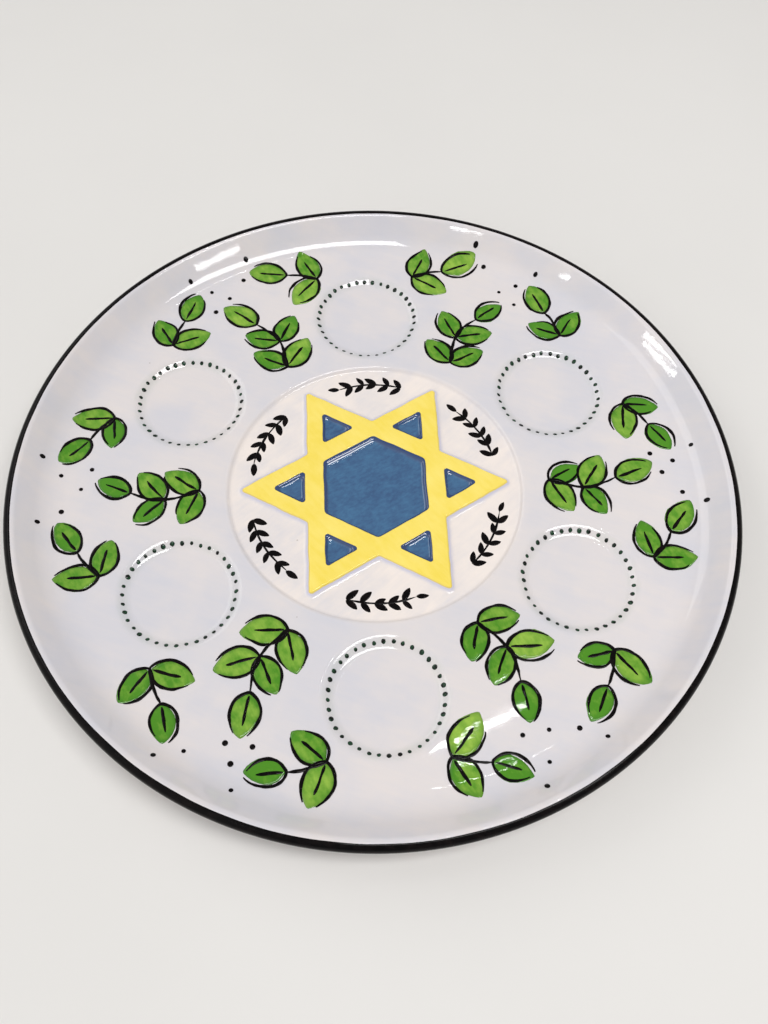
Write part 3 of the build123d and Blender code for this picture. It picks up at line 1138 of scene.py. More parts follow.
class SEDER_OT_pools(bpy.types.Operator):
    """Fill the star's windows with hollow pools of enamel"""

    bl_idname = "seder.pools"
    bl_label = "Blue Enamel"

    def execute(self, context):
        sizes = context.scene.seder_plate
        for number in range(WINDOW_COUNT):
            name = f"star_pool_{number}" if number else "star_pool_hexagon"
            node = f"triangle_panel_{number}" if number else "hexagon_panel"
            kept(self.pool(name, number, sizes), "blue_glaze", node)
        return {"FINISHED"}

    def pool(self, name, number, sizes):
        """One window's enamel, from the recess up to its lip and down to its dished floor."""
        star = sizes.star
        lip = STAR_TOP - star.pool_lip
        floor = STAR_TOP - star.pool_depth
        slope = star.window_flare / (STAR_TOP - RECESS_FLOOR)
        edge = slope * star.pool_lip + star.pool_gap
        fill = star.pool_fill if number else 0.0
        levels = [(star.window_flare + star.pool_gap, RECESS_FLOOR, 0.0), (edge, lip, 0.0)]
        share = 0.5 if number else 1.0  # of the middle pool's shelf and drift
        shelf, curve = share * star.pool_shelf, (0.5 + share / 2) * star.pool_curve
        for across, drop in self.fall(curve, lip - floor):
            reach = shelf + across
            levels.append((edge + reach, lip - drop, reach / (shelf + curve)))
        shell = bmesh.new()
        loops = []
        for inset, height, way in levels:
            drift = Vector((0.0, share * star.pool_drift * way))
            outline = [point - drift for point in window_outline(star, number, inset, way * fill)]
            loops.append(add_loop(shell, outline, height))
        middle = sum(outline, Vector((0.0, 0.0))) / len(outline)
        rings = 4 if number else 10
        for ring in range(1, rings):
            closer = [point.lerp(middle, ring / rings) for point in outline]
            loops.append(add_loop(shell, closer, floor))
        bridge(shell, loops)
        hub = shell.verts.new((middle.x, middle.y, floor))
        inner = loops[-1]
        for k in range(len(inner)):
            shell.faces.new((inner[k - 1], inner[k], hub))
        shell.faces.new(loops[0])
        for vert in [hub, *(vert for loop in loops[len(levels):] for vert in loop)]:
            vert.co.z += star.pool_waves * noise.noise(vert.co * POOL_WAVES)
        for loop in loops[:2]:
            for edge in loop_edges(shell, loop):
                edge.smooth = False
        return shell_piece(name, shell, blue_glaze(sizes))

    def fall(self, curve, depth):
        """Ways across and down a pool's wall: an arch over the lip, then a wider hollow to the floor."""
        arch_share, steps = 0.4, 12
        steepest = 2 * atan2(depth, curve)
        bend = curve / sin(steepest)
        for step in range(2 * steps + 1):
            turn = steepest * (1 - abs(step / steps - 1))
            share = arch_share if step <= steps else 1 - arch_share
            across, drop = share * bend * sin(turn), share * bend * (1 - cos(turn))
            yield (across, drop) if step <= steps else (curve - across, depth - drop)


# The painted ornament

RAY_HEIGHT = 50 * MM  # well over the plate
RAY_LENGTH = 100 * MM

# How much the hand varies: turns, and shares of a size
LEAF_TURN_STRAY = 0.16
DAB_TURN_STRAY = 0.1
LEAF_SIZES = (0.86, 1.1)
BERRY_SIZES = (0.8, 1.25)
DOT_SIZES = (0.82, 1.14)

# Seeds of the hand's variation, the dots' one more for each well
LEAF_SEED = 4
TWIG_SEED = 9
DOT_SEED = 10

LINE_LIFT = 0.9  # lines over the leaves, in films of paint
BERRY_LEANS = (-0.24, 0.26)  # to each side of the tip's leaf
BERRY_REACH = 1.16  # from that leaf's foot, in leaf lengths


def lay_group():
    """Lays flat geometry on the plate: its own height becomes height over the glaze."""
    inputs = [("Geometry", GEOMETRY, None), ("Plate", OBJECT, None), ("Lift", FLOAT, 0.0)]
    wiring, enter, leave = group("Lay On Plate", "GeometryNodeTree", inputs, [("Geometry", GEOMETRY)])
    plate = wiring.node("GeometryNodeObjectInfo", {"Object": enter["Plate"]}).outputs["Geometry"]
    x, y, z = wiring.parts(wiring("GeometryNodeInputPosition"))
    drop = wiring.node(
        "GeometryNodeRaycast",
        {
            "Target Geometry": plate,
            "Source Position": wiring.joined(x, y, RAY_HEIGHT),
            "Ray Direction": (0.0, 0.0, -1.0),
            "Ray Length": RAY_LENGTH,
        },
    )
    over = wiring.scaled(drop.outputs["Hit Normal"], wiring.math("ADD", z, enter["Lift"]))
    place = wiring.vector("ADD", drop.outputs["Hit Position"], over)
    wiring.feed(leave["Geometry"], wiring.moved(enter["Geometry"], position=place))
    return wiring.tree


def noise_offset(wiring, size, scale):
    """A smooth stray in x and y of up to about this size."""
    cloud = wiring.node("ShaderNodeTexNoise", {"Scale": scale, "Detail": 1.0}).outputs["Color"]
    centred = wiring.vector("SUBTRACT", cloud, (0.5, 0.5, 0.5))
    flat = wiring.vector("MULTIPLY", centred, (2.0, 2.0, 0.0))
    return wiring.scaled(flat, size)


def scattered(wiring, points, enter):
    """Points moved at random in x and y by up to a tree's stray."""
    stray = wiring.random((-1, -1, 0), (1, 1, 0), enter["Seed"], "FLOAT_VECTOR")
    return wiring.moved(points, offset=wiring.scaled(stray, enter["Stray"]))


def resampled(wiring, curves, step):
    """Curves with points at even steps."""
    return wiring("GeometryNodeResampleCurve", {"Curve": curves, "Length": step}, mode="LENGTH")


def leaf_places_group():
    """Points along stems where leaves grow, pairs on the way and one at the tip, with turn and size."""
    inputs = [
        ("Stems", GEOMETRY, None),
        ("Spacing", FLOAT, 0.01),
        ("Leaf Angle", FLOAT, 0.9),
        ("Seed", INT, 1),
    ]
    wiring, enter, leave = group("Leaf Places", "GeometryNodeTree", inputs, [("Points", GEOMETRY)])
    curves = wiring("GeometryNodeMeshToCurve", {"Mesh": enter["Stems"]})
    spaced = resampled(wiring, curves, enter["Spacing"])
    ends = wiring("GeometryNodeCurveEndpointSelection", {"Start Size": 0, "End Size": 1})
    spaced = stored(wiring, spaced, "leaf_tip", ends)
    spots = wiring.node("GeometryNodeCurveToPoints", {"Curve": spaced}, mode="EVALUATED")
    along_x, along_y, _ = wiring.parts(spots.outputs["Tangent"])
    spots = stored(wiring, spots.outputs["Points"], "bearing", wiring.math("ARCTAN2", along_y, along_x))
    at_tip = named(wiring, "leaf_tip")
    split = wiring.node("GeometryNodeSeparateGeometry", {"Geometry": spots, "Selection": at_tip})
    bearing = named(wiring, "bearing")
    tips = stored(wiring, split.outputs["Selection"], "leaf_turn", bearing)
    pairs = split.outputs["Inverted"]
    left = stored(wiring, pairs, "leaf_turn", wiring.math("ADD", bearing, enter["Leaf Angle"]))
    right = stored(wiring, pairs, "leaf_turn", wiring.math("SUBTRACT", bearing, enter["Leaf Angle"]))
    leaves = wiring.together(left, right, tips)
    stray = wiring.random(-LEAF_TURN_STRAY, LEAF_TURN_STRAY, enter["Seed"])
    leaves = stored(wiring, leaves, "leaf_turn", wiring.math("ADD", named(wiring, "leaf_turn"), stray))
    leaves = stored(wiring, leaves, "leaf_size", wiring.random(*LEAF_SIZES, enter["Seed"]))
    wiring.feed(leave["Points"], leaves)
    return wiring.tree


def leaf_outline(wiring, x, y, leaf_length, leaf_width):
    """A point of the unit circle moved to a leaf that starts at the origin and points along X."""
    reach = wiring.flat_length(x, y)
    side = wiring.math("DIVIDE", wiring.math("ABSOLUTE", y), wiring.math("MAXIMUM", reach, 0.0001))
    belly = wiring.math("MULTIPLY", y, wiring.math("POWER", side, 0.42))
    fuller = wiring.math("MULTIPLY_ADD", x, -0.16, 1.0)
    half_width = wiring.math("MULTIPLY", half_of(wiring, leaf_width), fuller)
    along = wiring.math("MULTIPLY", wiring.math("MULTIPLY_ADD", x, 0.5, 0.5), leaf_length)
    return along, wiring.math("MULTIPLY", belly, half_width)


def leaf_dabs_group():
    """A low dab of paint in the shape of a leaf at each point."""
    inputs = [
        ("Points", GEOMETRY, None),
        ("Leaf Length", FLOAT, 0.017),
        ("Leaf Width", FLOAT, 0.01),
        ("Film", FLOAT, 0.0001),
        ("Stray", FLOAT, 0.0006),
        ("Seed", INT, 1),
    ]
    wiring, enter, leave = group("Leaf Dabs", "GeometryNodeTree", inputs, [("Mesh", GEOMETRY)])
    ball = wiring("GeometryNodeMeshUVSphere", {"Segments": 20, "Rings": 9, "Radius": 1.0})
    x, y, z = wiring.parts(wiring("GeometryNodeInputPosition"))
    ball = stored(wiring, ball, "leaf_edge", wiring.flat_length(x, y))
    along, across = leaf_outline(wiring, x, y, enter["Leaf Length"], enter["Leaf Width"])
    height = wiring.math("MULTIPLY", z, enter["Film"])
    leaf = wiring.moved(ball, position=wiring.joined(along, across, height))
    sway = wiring.random(-DAB_TURN_STRAY, DAB_TURN_STRAY, enter["Seed"])
    turn = wiring.joined(0.0, 0.0, wiring.math("ADD", named(wiring, "leaf_turn"), sway))
    size = named(wiring, "leaf_size")
    spots = scattered(wiring, enter["Points"], enter)
    leaves = wiring(
        "GeometryNodeInstanceOnPoints",
        {"Points": spots, "Instance": leaf, "Rotation": turn, "Scale": wiring.joined(size, size, 1.0)},
    )
    leaves = stored(wiring, leaves, "leaf_tone", wiring.random(0.0, 1.0, enter["Seed"]), "INSTANCE")
    leaves = realized(wiring, leaves)
    leaves = wiring.moved(leaves, offset=noise_offset(wiring, enter["Stray"], 220.0))
    wiring.feed(leave["Mesh"], leaves)
    return wiring.tree


def brush_line_group():
    """Draws curves as low brushed lines whose width strays and tapers at the ends."""
    inputs = [
        ("Curves", GEOMETRY, None),
        ("Width", FLOAT, 0.001),
        ("Film", FLOAT, 0.0001),
        ("Stray", FLOAT, 0.0004),
        ("Step", FLOAT, 0.0009),
    ]
    wiring, enter, leave = group("Brush Line", "GeometryNodeTree", inputs, [("Mesh", GEOMETRY)])
    curves = resampled(wiring, enter["Curves"], enter["Step"])
    curves = wiring.moved(curves, offset=noise_offset(wiring, enter["Stray"], 130.0))
    part = wiring.node("GeometryNodeSplineParameter").outputs["Factor"]
    end = wiring.math("MINIMUM", part, wiring.math("SUBTRACT", 1.0, part))
    taper = wiring.range(end, 0.0, 0.14, 0.35, 1.0)
    press = wiring.range(wiring("ShaderNodeTexNoise", {"Scale": 170.0}), 0.3, 0.7, 0.68, 1.3)
    thickness = wiring.math("MULTIPLY", taper, press)
    tube = wiring(
        "GeometryNodeCurveToMesh",
        {
            "Curve": curves,
            "Profile Curve": wiring("GeometryNodeCurvePrimitiveCircle", {"Resolution": 8, "Radius": 1.0}),
            "Scale": wiring.math("MULTIPLY", thickness, half_of(wiring, enter["Width"])),
            "Fill Caps": True,
        },
    )
    x, y, z = wiring.parts(wiring("GeometryNodeInputPosition"))
    flat = wiring.math("DIVIDE", enter["Film"], half_of(wiring, enter["Width"]))
    height = wiring.math("MULTIPLY", z, flat)
    wiring.feed(leave["Mesh"], wiring.moved(tube, position=wiring.joined(x, y, height)))
    return wiring.tree


PAINTERS = {
    "lay": lay_group,
    "leaf_places": leaf_places_group,
    "leaf_dabs": leaf_dabs_group,
    "brush_line": brush_line_group,
}


def painted(wiring, name, **inputs):
    """One shared step of the painting in a tree."""
    return shared(wiring, "GeometryNodeGroup", PAINTERS, name, inputs)


def finished(wiring, geometry, enter):
    """The end of a painting tree: laid on the plate, smooth and coloured."""
    laid = painted(wiring, "lay", Geometry=geometry, Plate=enter["Plate"], Lift=enter["Lift"])
    return coated(wiring, laid, enter["Material"])


ON_PLATE = [("Plate", OBJECT, None), ("Lift", FLOAT, 0.0), ("Material", MATERIAL, None), ("Seed", INT, 1)]
LEAVES = [
    ("Spacing", FLOAT, 0.013),
    ("Leaf Angle", FLOAT, 0.9),
    ("Leaf Length", FLOAT, 0.017),
    ("Leaf Width", FLOAT, 0.01),
    ("Line Width", FLOAT, 0.001),
    ("Film", FLOAT, 0.0001),
    ("Stray", FLOAT, 0.0006),
]


def leaf_places(wiring, enter):
    """The places of a painting tree's leaves."""
    return painted(
        wiring,
        "leaf_places",
        Stems=enter["Geometry"],
        Spacing=enter["Spacing"],
        Leaf_Angle=enter["Leaf Angle"],
        Seed=enter["Seed"],
    )


def leaf_dabs(wiring, enter, points):
    """The dabs of a painting tree's leaves."""
    names = ("Leaf Length", "Leaf Width", "Film", "Stray", "Seed")
    inputs = {name.replace(" ", "_"): enter[name] for name in names}
    return painted(wiring, "leaf_dabs", Points=points, **inputs)


def brushed_lines(wiring, enter, curves):
    """A painting tree's curves as brushed lines."""
    return painted(
        wiring,
        "brush_line",
        Curves=curves,
        Width=enter["Line Width"],
        Film=enter["Film"],
        Stray=enter["Stray"],
    )


def leaf_dabs_tree():
    """Green dabs of the leaf sprigs."""
    wiring, enter, leave = geometry_tree("Leaf Painting", [*ON_PLATE, *LEAVES])
    dabs = leaf_dabs(wiring, enter, leaf_places(wiring, enter))
    wiring.feed(leave["Geometry"], finished(wiring, dabs, enter))
    return wiring.tree


def leaf_lines_tree():
    """Loose black outlines, midribs, stems and berries of the leaf sprigs."""
    wiring, enter, leave = geometry_tree("Leaf Lines", [*ON_PLATE, *LEAVES, ("Berry Radius", FLOAT, 0.001)])
    points = leaf_places(wiring, enter)
    turn = wiring.joined(0.0, 0.0, named(wiring, "leaf_turn"))
    size = named(wiring, "leaf_size")
    scale = wiring.joined(size, size, 1.0)

    def at_leaves(curve):
        inputs = {"Points": points, "Instance": curve, "Rotation": turn, "Scale": scale}
        return realized(wiring, wiring("GeometryNodeInstanceOnPoints", inputs))

    ring = wiring("GeometryNodeCurvePrimitiveCircle", {"Resolution": 40, "Radius": 1.0})
    x, y, _ = wiring.parts(wiring("GeometryNodeInputPosition"))
    along, across = leaf_outline(wiring, x, y, enter["Leaf Length"], enter["Leaf Width"])
    outline = at_leaves(wiring.moved(ring, position=wiring.joined(along, across, 0.0)))
    outline = wiring(
        "GeometryNodeTrimCurve",
        {
            "Curve": outline,
            "Start": wiring.random(0.0, 0.1, enter["Seed"]),
            "End": wiring.random(0.86, 0.97, wiring.math("ADD", enter["Seed"], 1.0)),
        },
    )
    rib_start = wiring.joined(wiring.math("MULTIPLY", enter["Leaf Length"], 0.08), 0.0, 0.0)
    rib_end = wiring.joined(wiring.math("MULTIPLY", enter["Leaf Length"], 0.7), 0.0, 0.0)
    midrib = at_leaves(wiring("GeometryNodeCurvePrimitiveLine", {"Start": rib_start, "End": rib_end}))
    stems = wiring("GeometryNodeMeshToCurve", {"Mesh": enter["Geometry"]})
    lines = brushed_lines(wiring, enter, wiring.together(outline, midrib, stems))
    dots = berries(wiring, enter, points)
    wiring.feed(leave["Geometry"], finished(wiring, wiring.together(lines, dots), enter))
    return wiring.tree


def berries(wiring, enter, points):
    """Two small round dots past the tip of each sprig."""
    at_tip = named(wiring, "leaf_tip")
    tips = wiring("GeometryNodeSeparateGeometry", {"Geometry": points, "Selection": at_tip})
    reach = wiring.math("MULTIPLY", enter["Leaf Length"], BERRY_REACH)
    dots = []
    for lean in BERRY_LEANS:
        bearing = wiring.math("ADD", named(wiring, "leaf_turn"), lean)
        dots.append(wiring.moved(tips, offset=wiring.polar(reach, bearing, 0.0)))
    radius = enter["Berry Radius"]
    flat = wiring.joined(radius, radius, enter["Film"])
    made = wiring(
        "GeometryNodeInstanceOnPoints",
        {
            "Points": wiring.together(*dots),
            "Instance": wiring("GeometryNodeMeshUVSphere", {"Segments": 12, "Rings": 6, "Radius": 1.0}),
            "Scale": wiring.scaled(flat, wiring.random(*BERRY_SIZES, enter["Seed"])),
        },
    )
    return realized(wiring, made)


def twigs_tree():
    """Small black twigs round the star: a brushed stem with solid leaves."""
    wiring, enter, leave = geometry_tree("Twigs", [*ON_PLATE, *LEAVES])
    stems = wiring("GeometryNodeMeshToCurve", {"Mesh": enter["Geometry"]})
    lines = brushed_lines(wiring, enter, stems)
    dabs = leaf_dabs(wiring, enter, leaf_places(wiring, enter))
    wiring.feed(leave["Geometry"], finished(wiring, wiring.together(dabs, lines), enter))
    return wiring.tree


def dots_tree():
    """A ring of hand-set dots on one well's wall."""
    inputs = [
        *ON_PLATE,
        ("Centre", VECTOR, None),
        ("Count", INT, 36),
        ("Ring Radius", FLOAT, 0.02),
        ("Dot Radius", FLOAT, 0.0009),
        ("Dot Height", FLOAT, 0.0003),
        ("Stray", FLOAT, 0.0003),
    ]
    wiring, enter, leave = geometry_tree("Well Dots", inputs)
    ring = wiring("GeometryNodeMeshCircle", {"Vertices": enter["Count"], "Radius": enter["Ring Radius"]})
    ring = wiring("GeometryNodeTransform", {"Geometry": ring, "Translation": enter["Centre"]})
    spots = scattered(wiring, ring, enter)
    flat = wiring.joined(enter["Dot Radius"], enter["Dot Radius"], enter["Dot Height"])
    dots = wiring(
        "GeometryNodeInstanceOnPoints",
        {
            "Points": spots,
            "Instance": wiring("GeometryNodeMeshUVSphere", {"Segments": 9, "Rings": 5, "Radius": 1.0}),
            "Scale": wiring.scaled(flat, wiring.random(*DOT_SIZES, enter["Seed"])),
        },
    )
    dots = realized(wiring, dots)
    dots = wiring.moved(dots, offset=noise_offset(wiring, enter["Stray"], 700.0))
    wiring.feed(leave["Geometry"], finished(wiring, dots, enter))
    return wiring.tree


def band_tree():
    """A brushed band round the outside of the lip, a thin lens across with straying edges."""
    inputs = [
        ("Segments", INT, 288),
        ("Rows", INT, 28),
        ("Lip Across", FLOAT, 0.15),
        ("Lip Up", FLOAT, 0.02),
        ("Lip Radius", FLOAT, 0.003),
        ("Film", FLOAT, 0.0001),
        ("Top Angle", FLOAT, 1.5),
        ("Bottom Angle", FLOAT, -0.7),
        ("Wobble", FLOAT, 0.1),
        ("Lean", FLOAT, 0.1),
        ("Lean Bearing", FLOAT, 2.3),
        ("Material", MATERIAL, None),
    ]
    wiring, enter, leave = geometry_tree("Lip Band", inputs)
    segments, rows = enter["Segments"], enter["Rows"]
    grid = wiring(
        "GeometryNodeMeshGrid",
        {
            "Size X": 1.0,
            "Size Y": 1.0,
            "Vertices X": wiring.math("ADD", segments, 1.0),
            "Vertices Y": wiring.math("ADD", rows, 1.0),
        },
    )
    x, y, _ = wiring.parts(wiring("GeometryNodeInputPosition"))
    turn = wiring.math("MULTIPLY", wiring.math("ADD", x, 0.5), tau)
    section = wiring.math("MULTIPLY", wiring.math("ADD", y, 0.5), tau)
    around = wiring.joined(wiring.math("COSINE", turn), wiring.math("SINE", turn), 0.0)

    def wandering(edge, level):
        spot = wiring.vector("ADD", around, (0.0, 0.0, level))
        drift = noise_value(wiring, spot, 9.0, 3.0)
        return wiring.math("MULTIPLY_ADD", wiring.math("SUBTRACT", drift, 0.5), enter["Wobble"], edge)

    leaning = wiring.math("COSINE", wiring.math("SUBTRACT", turn, enter["Lean Bearing"]))
    top = wandering(wiring.math("MULTIPLY_ADD", leaning, enter["Lean"], enter["Top Angle"]), 0.0)
    bottom = wandering(enter["Bottom Angle"], 5.0)
    middle = half_of(wiring, wiring.math("ADD", top, bottom))
    half = half_of(wiring, wiring.math("SUBTRACT", top, bottom))
    bearing = wiring.math("MULTIPLY_ADD", wiring.math("COSINE", section), half, middle)
    bulge = wiring.math("SINE", section)
    outer = wiring.math("SQRT", wiring.math("MAXIMUM", bulge, 0.0))
    inner = wiring.math("MULTIPLY", wiring.math("MINIMUM", bulge, 0.0), 0.3)
    depth = wiring.math("MULTIPLY", wiring.math("ADD", outer, inner), enter["Film"])
    reach = wiring.math("ADD", enter["Lip Radius"], depth)
    across = wiring.math("MULTIPLY_ADD", wiring.math("COSINE", bearing), reach, enter["Lip Across"])
    up = wiring.math("MULTIPLY_ADD", wiring.math("SINE", bearing), reach, enter["Lip Up"])
    place = wiring.vector("ADD", wiring.scaled(around, across), wiring.joined(0.0, 0.0, up))
    band = welded(wiring, wiring.moved(grid, position=place))
    wiring.feed(leave["Geometry"], coated(wiring, band, enter["Material"]))
    return wiring.tree


class SEDER_OT_band(bpy.types.Operator):
    """Brush the black band round the lip"""

    bl_idname = "seder.band"
    bl_label = "Lip Band"

    def execute(self, context):
        sizes = context.scene.seder_plate
        body, paint = sizes.body, sizes.paint
        across, up = lip_centre(body)
        values = {
            "Segments": body.rim_segments,
            "Lip Across": across,
            "Lip Up": up,
            "Lip Radius": body.thickness / 2 - paint.film,
            "Film": paint.film,
            "Top Angle": paint.band_top,
            "Bottom Angle": body.rim_angle - pi / 2,
            "Wobble": 2 * paint.band_wobble,
            "Lean": paint.band_lean,
            "Lean Bearing": paint.band_bearing,
            "Material": black_glaze(sizes),
        }
        piece = faced_outwards(grown("lip_band", band_tree(), values))
        kept(piece, "black_glaze", "rim_band")
        return {"FINISHED"}


class SEDER_OT_dots(bpy.types.Operator):
    """Dot the walls of the wells"""

    bl_idname = "seder.dots"
    bl_label = "Well Dots"

    def execute(self, context):
        sizes = context.scene.seder_plate
        body, paint = sizes.body, sizes.paint
        tree = dots_tree()
        for number, seat in enumerate(WELL_SEATS, 1):
            values = {
                "Plate": bpy.data.objects["glazed_body"],
                "Centre": (seat.x, seat.y, 0.0),
                "Count": paint.dot_count,
                "Ring Radius": body.well_radius - body.well_wall / 2,
                "Dot Radius": paint.dot_radius,
                "Dot Height": paint.dot_height,
                "Stray": paint.dot_stray,
                "Seed": DOT_SEED + number,
                "Material": dot_glaze(sizes),
            }
            piece = faced_outwards(grown(f"dot_ring_{number}", tree, values))
            kept(piece, "dot_glaze", f"well_dots_{number}")
        return {"FINISHED"}


def sprig_stems(paint):
    """Stems of the leaf sprigs: one between each two wells and two at the rim by each well."""
    stems = []
    steps = 8
    for k in range(WELL_COUNT):
        bearing = radians(60 * k)
        bend = paint.sprig_bend if k % 2 else -paint.sprig_bend
        line = []
        for step in range(steps + 1):
            part = step / steps
            radius = paint.sprig_start + paint.sprig_length * part
            line.append((*polar(radius, bearing + bend * sin(pi * part)), 0.0))
        stems.append(line)
    steps = 5
    behind = 0.62  # share of the stem that lies behind its place
    for k in range(2 * WELL_COUNT):
        bearing = radians(15 + 30 * k)
        side = 1 if k % 2 else -1
        middle = polar(paint.rim_sprig_radius, bearing)
        heading = bearing + side * paint.rim_sprig_lean
        line = []
        for step in range(steps + 1):
            part = step / steps - behind
            turn = heading + side * paint.rim_sprig_curl * part
            line.append((*(middle + polar(paint.rim_sprig_length * part, turn)), 0.0))
        stems.append(line)
    return stems


class SEDER_OT_leaves(bpy.types.Operator):
    """Paint the leaf sprigs: green dabs and loose black lines"""

    bl_idname = "seder.leaves"
    bl_label = "Leaf Sprigs"

    def execute(self, context):
        sizes = context.scene.seder_plate
        paint = sizes.paint
        values = {
            "Plate": bpy.data.objects["glazed_body"],
            "Seed": LEAF_SEED,
            "Spacing": paint.leaf_spacing,
            "Leaf Angle": paint.leaf_angle,
            "Leaf Length": paint.leaf_length,
            "Leaf Width": paint.leaf_width,
            "Line Width": paint.line_width,
            "Stray": paint.leaf_stray,
            "Film": paint.film,
        }
        stems = sprig_stems(paint)
        green = {"Lift": 0.0, "Material": green_glaze(sizes)}
        dabs = grown("leaf_dabs", leaf_dabs_tree(), values | green, line_mesh("stems", stems))
        kept(faced_outwards(dabs), "green_glaze")
        black = {
            "Lift": LINE_LIFT * paint.film,
            "Material": black_glaze(sizes),
            "Berry Radius": paint.berry_radius,
        }
        lines = grown("leaf_lines", leaf_lines_tree(), values | black, line_mesh("stems", stems))
        kept(faced_outwards(lines), "black_glaze")
        return {"FINISHED"}


def twig_stems(paint):
    """Stems of the twigs: an arc in each notch of the star."""
    stems = []
    half_steps = 6
    for k in range(6):
        middle = radians(30 + 60 * k)
        line = []
        for step in range(-half_steps, half_steps + 1):
            lean = paint.twig_reach * step / half_steps
            radius = paint.twig_radius + paint.twig_bow * cos(4 * lean)
            line.append((*polar(radius, middle + lean), 0.0))
        stems.append(line)
    return stems


class SEDER_OT_twigs(bpy.types.Operator):
    """Brush the small black twigs round the star"""

    bl_idname = "seder.twigs"
    bl_label = "Twigs"

    def execute(self, context):
        sizes = context.scene.seder_plate
        paint = sizes.paint
        values = {
            "Plate": bpy.data.objects["glazed_body"],
            "Seed": TWIG_SEED,
            "Lift": 0.0,
            "Spacing": paint.twig_spacing,
            "Leaf Angle": paint.twig_leaf_angle,
            "Leaf Length": paint.twig_leaf_length,
            "Leaf Width": paint.twig_leaf_width,
            "Line Width": paint.twig_line,
            "Stray": paint.twig_stray,
            "Film": paint.film,
            "Material": black_glaze(sizes),
        }
        twigs = grown("recess_twigs", twigs_tree(), values, line_mesh("twig_stems", twig_stems(paint)))
        kept(faced_outwards(twigs), "black_glaze")
        return {"FINISHED"}


# The stage, in metres

FLOOR_REACH = 4.0
SENSOR_WIDTH = 36.0  # millimetres, as Blender counts it
AIR_COLOUR = (1.0, 0.99, 0.98, 1.0)
GLOW_DIRECTION = (-0.89, -0.16, 0.42)

# Lamps: width and depth, and place
KEY_SIZE, KEY_PLACE = (0.93, 0.36), (0.36, -0.3, 1.4)
SIDE_SIZE, SIDE_PLACE = (1.2, 0.5), (-0.8, 0.6, 0.95)
TUBE_SIZE, TUBE_PLACE = (0.2, 0.008), (0.225, 0.302, 1.41)
TUBE_TARGET, TUBE_ALONG = (0.03, -0.11, 0.011), (0.93, 0.37, 0.0)

# Thin openings: both ends, the spot of the rim that mirrors them, and widths
WINDOW_ENDS, WINDOW_TARGET = ((-1.083, 0.0, 0.717), (-1.103, 0.22, 0.635)), (0.131, 0.061, 0.018)
DOOR_ENDS, DOOR_TARGET = ((0.827, -0.548, 0.849), (0.642, -0.707, 0.893)), (-0.07, 0.126, 0.018)
LAMP_ENDS, LAMP_TARGET = ((-0.867, -0.466, 0.859), (-0.903, -0.42, 0.844)), (0.095, 0.109, 0.018)
GAP_ENDS, GAP_TARGET = ((-0.395, -0.831, 0.93), (-0.549, -0.757, 0.914)), (0.05, 0.138, 0.02)
NARROW, WIDE, WIDEST = 0.006, 0.008, 0.011
SLAT_COUNT = 2
SLAT_STEP = Vector((0.0, 0.03, 0.0))


def softbox(name, size, power, place, target, along=(1.0, 0.0, 0.0)):
    """A rectangular area light at a place, facing its target, its long side set along a direction."""
    lamp = bpy.data.lights.new(name, "AREA")
    lamp.shape = "RECTANGLE"
    lamp.size, lamp.size_y = size
    lamp.energy = power
    light = bpy.data.objects.new(name, lamp)
    bpy.context.scene.collection.objects.link(light)
    back = (Vector(place) - Vector(target)).normalized()
    up = back.cross(Vector(along)).normalized()
    turn = Matrix((up.cross(back), up, back)).transposed().to_4x4()
    light.matrix_world = Matrix.Translation(place) @ turn


def slit(name, ends, width, radiance, target):
    """A thin bright opening from end to end, facing its target."""
    first, second = (Vector(end) for end in ends)
    along = second - first
    power = radiance * pi * along.length * width
    softbox(name, (along.length, width), power, (first + second) / 2, target, along)


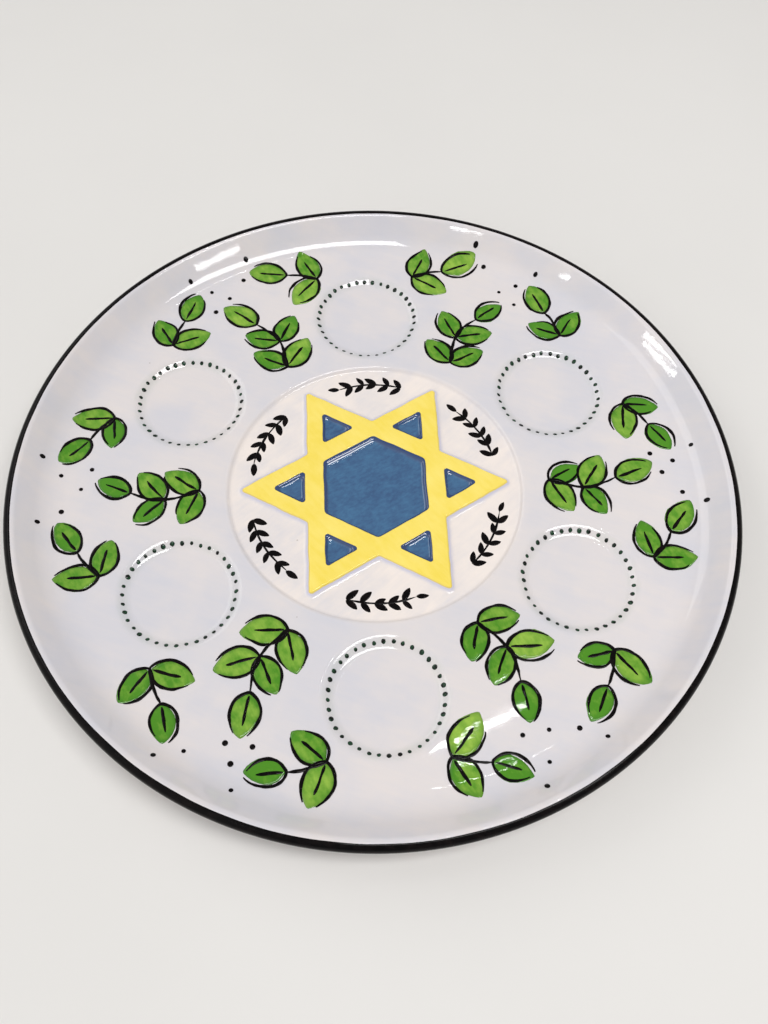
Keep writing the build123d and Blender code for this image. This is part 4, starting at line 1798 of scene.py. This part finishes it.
class SEDER_OT_stage(bpy.types.Operator):
    """Set the pale floor, the soft lights and the camera"""

    bl_idname = "seder.stage"
    bl_label = "Studio"

    def execute(self, context):
        sizes = context.scene.seder_plate
        self.lay_floor(sizes)
        self.hang_lights(sizes)
        self.open_slits(sizes.studio.slit_radiance)
        self.fill_air(context, sizes.studio)
        self.place_camera(context, sizes)
        context.scene.view_settings.view_transform = "Standard"
        return {"FINISHED"}

    def lay_floor(self, sizes):
        """A wide level floor at the foot ring's face."""
        reach = FLOOR_REACH
        mesh = bpy.data.meshes.new("studio_floor")
        corners = [(-reach, -reach, 0), (reach, -reach, 0), (reach, reach, 0), (-reach, reach, 0)]
        mesh.from_pydata(corners, [], [(0, 1, 2, 3)])
        mesh.materials.append(studio_floor_material(sizes))
        new_piece("studio_floor", mesh)

    def hang_lights(self, sizes):
        """Two softboxes and a narrow tube."""
        studio = sizes.studio
        middle = (0.0, 0.0, sizes.body.floor_height)
        softbox("key", KEY_SIZE, studio.key_power, KEY_PLACE, middle)
        softbox("side", SIDE_SIZE, studio.side_power, SIDE_PLACE, middle, (0.0, 1.0, 0.0))
        softbox("tube", TUBE_SIZE, studio.tube_power, TUBE_PLACE, TUBE_TARGET, TUBE_ALONG)

    def open_slits(self, radiance):
        """Thin bright openings that the rim mirrors as streaks."""
        for slat in range(SLAT_COUNT):
            ends = [Vector(end) + slat * SLAT_STEP for end in WINDOW_ENDS]
            slit(f"window_{slat + 1}", ends, NARROW, radiance, WINDOW_TARGET)
        slit("door", DOOR_ENDS, WIDEST, radiance, DOOR_TARGET)
        slit("lamp", LAMP_ENDS, WIDE, radiance, LAMP_TARGET)
        slit("gap", GAP_ENDS, NARROW, radiance, GAP_TARGET)

    def fill_air(self, context, studio):
        """Even surrounding light, stronger low on the left."""
        world = bpy.data.worlds.new("studio")
        world.use_nodes = True
        background = world.node_tree.nodes["Background"]
        background.inputs["Color"].default_value = AIR_COLOUR
        wiring = Wiring(world.node_tree)
        sight = wiring.node("ShaderNodeTexCoord").outputs["Generated"]
        facing = wiring.vector("DOT_PRODUCT", sight, GLOW_DIRECTION)
        glow = wiring.range(facing, 0.3, 1.0, 0.0, studio.glow, interpolation_type="SMOOTHERSTEP")
        wiring.feed(background.inputs["Strength"], wiring.math("ADD", glow, studio.ambient))
        context.scene.world = world

    def place_camera(self, context, sizes):
        """The camera where the photograph was taken from."""
        studio = sizes.studio
        lens = bpy.data.cameras.new("camera")
        lens.lens = studio.focal_length
        lens.sensor_width = SENSOR_WIDTH
        camera = bpy.data.objects.new("camera", lens)
        context.scene.collection.objects.link(camera)
        target = Vector((studio.aside, -studio.nearer, 0.0))
        out = Vector((0.0, -cos(studio.elevation), sin(studio.elevation)))
        across = Vector((1.0, 0.0, 0.0))
        up = out.cross(across)
        axes = Matrix((across, up, out)).transposed().to_4x4()
        roll = Matrix.Rotation(studio.roll, 4, "Z")
        stand = Matrix.Translation(target + out * studio.distance) @ axes @ roll
        round_plate = Matrix.Rotation(-studio.turn, 4, "Z")
        camera.matrix_world = Matrix.Translation((0, 0, sizes.body.floor_height)) @ round_plate @ stand
        context.scene.camera = camera


class SEDER_PT_panel(bpy.types.Panel):
    """Lists the plate's pieces and sizes in the sidebar"""

    bl_idname = "SEDER_PT_panel"
    bl_label = "Seder Plate"
    bl_space_type = "VIEW_3D"
    bl_region_type = "UI"
    bl_category = "Seder Plate"

    def draw(self, context):
        for operator in OPERATORS:
            self.layout.operator(operator.bl_idname)
        sizes = context.scene.seder_plate
        for name in ("body", "star", "paint", "glaze", "studio"):
            box = self.layout.box()
            box.label(text=name.title())
            settings = getattr(sizes, name)
            for label in settings.__annotations__:
                box.prop(settings, label)


OPERATORS = (
    SEDER_OT_body,
    SEDER_OT_band,
    SEDER_OT_star,
    SEDER_OT_pools,
    SEDER_OT_dots,
    SEDER_OT_leaves,
    SEDER_OT_twigs,
    SEDER_OT_stage,
)
SETTINGS = (BodySizes, StarSizes, PaintSizes, GlazeColours, StudioSizes, SederPlate)
CLASSES = (*SETTINGS, *OPERATORS, SEDER_PT_panel)


def register():
    for kind in CLASSES:
        bpy.utils.register_class(kind)
    bpy.types.Scene.seder_plate = PointerProperty(type=SederPlate)


def unregister():
    del bpy.types.Scene.seder_plate
    for kind in reversed(CLASSES):
        bpy.utils.unregister_class(kind)


def main():
    register()
    bpy.ops.seder.body()
    bpy.ops.seder.band()
    bpy.ops.seder.star()
    bpy.ops.seder.pools()
    bpy.ops.seder.dots()
    bpy.ops.seder.leaves()
    bpy.ops.seder.twigs()
    bpy.ops.seder.stage()


if __name__ == "__main__":
    main()
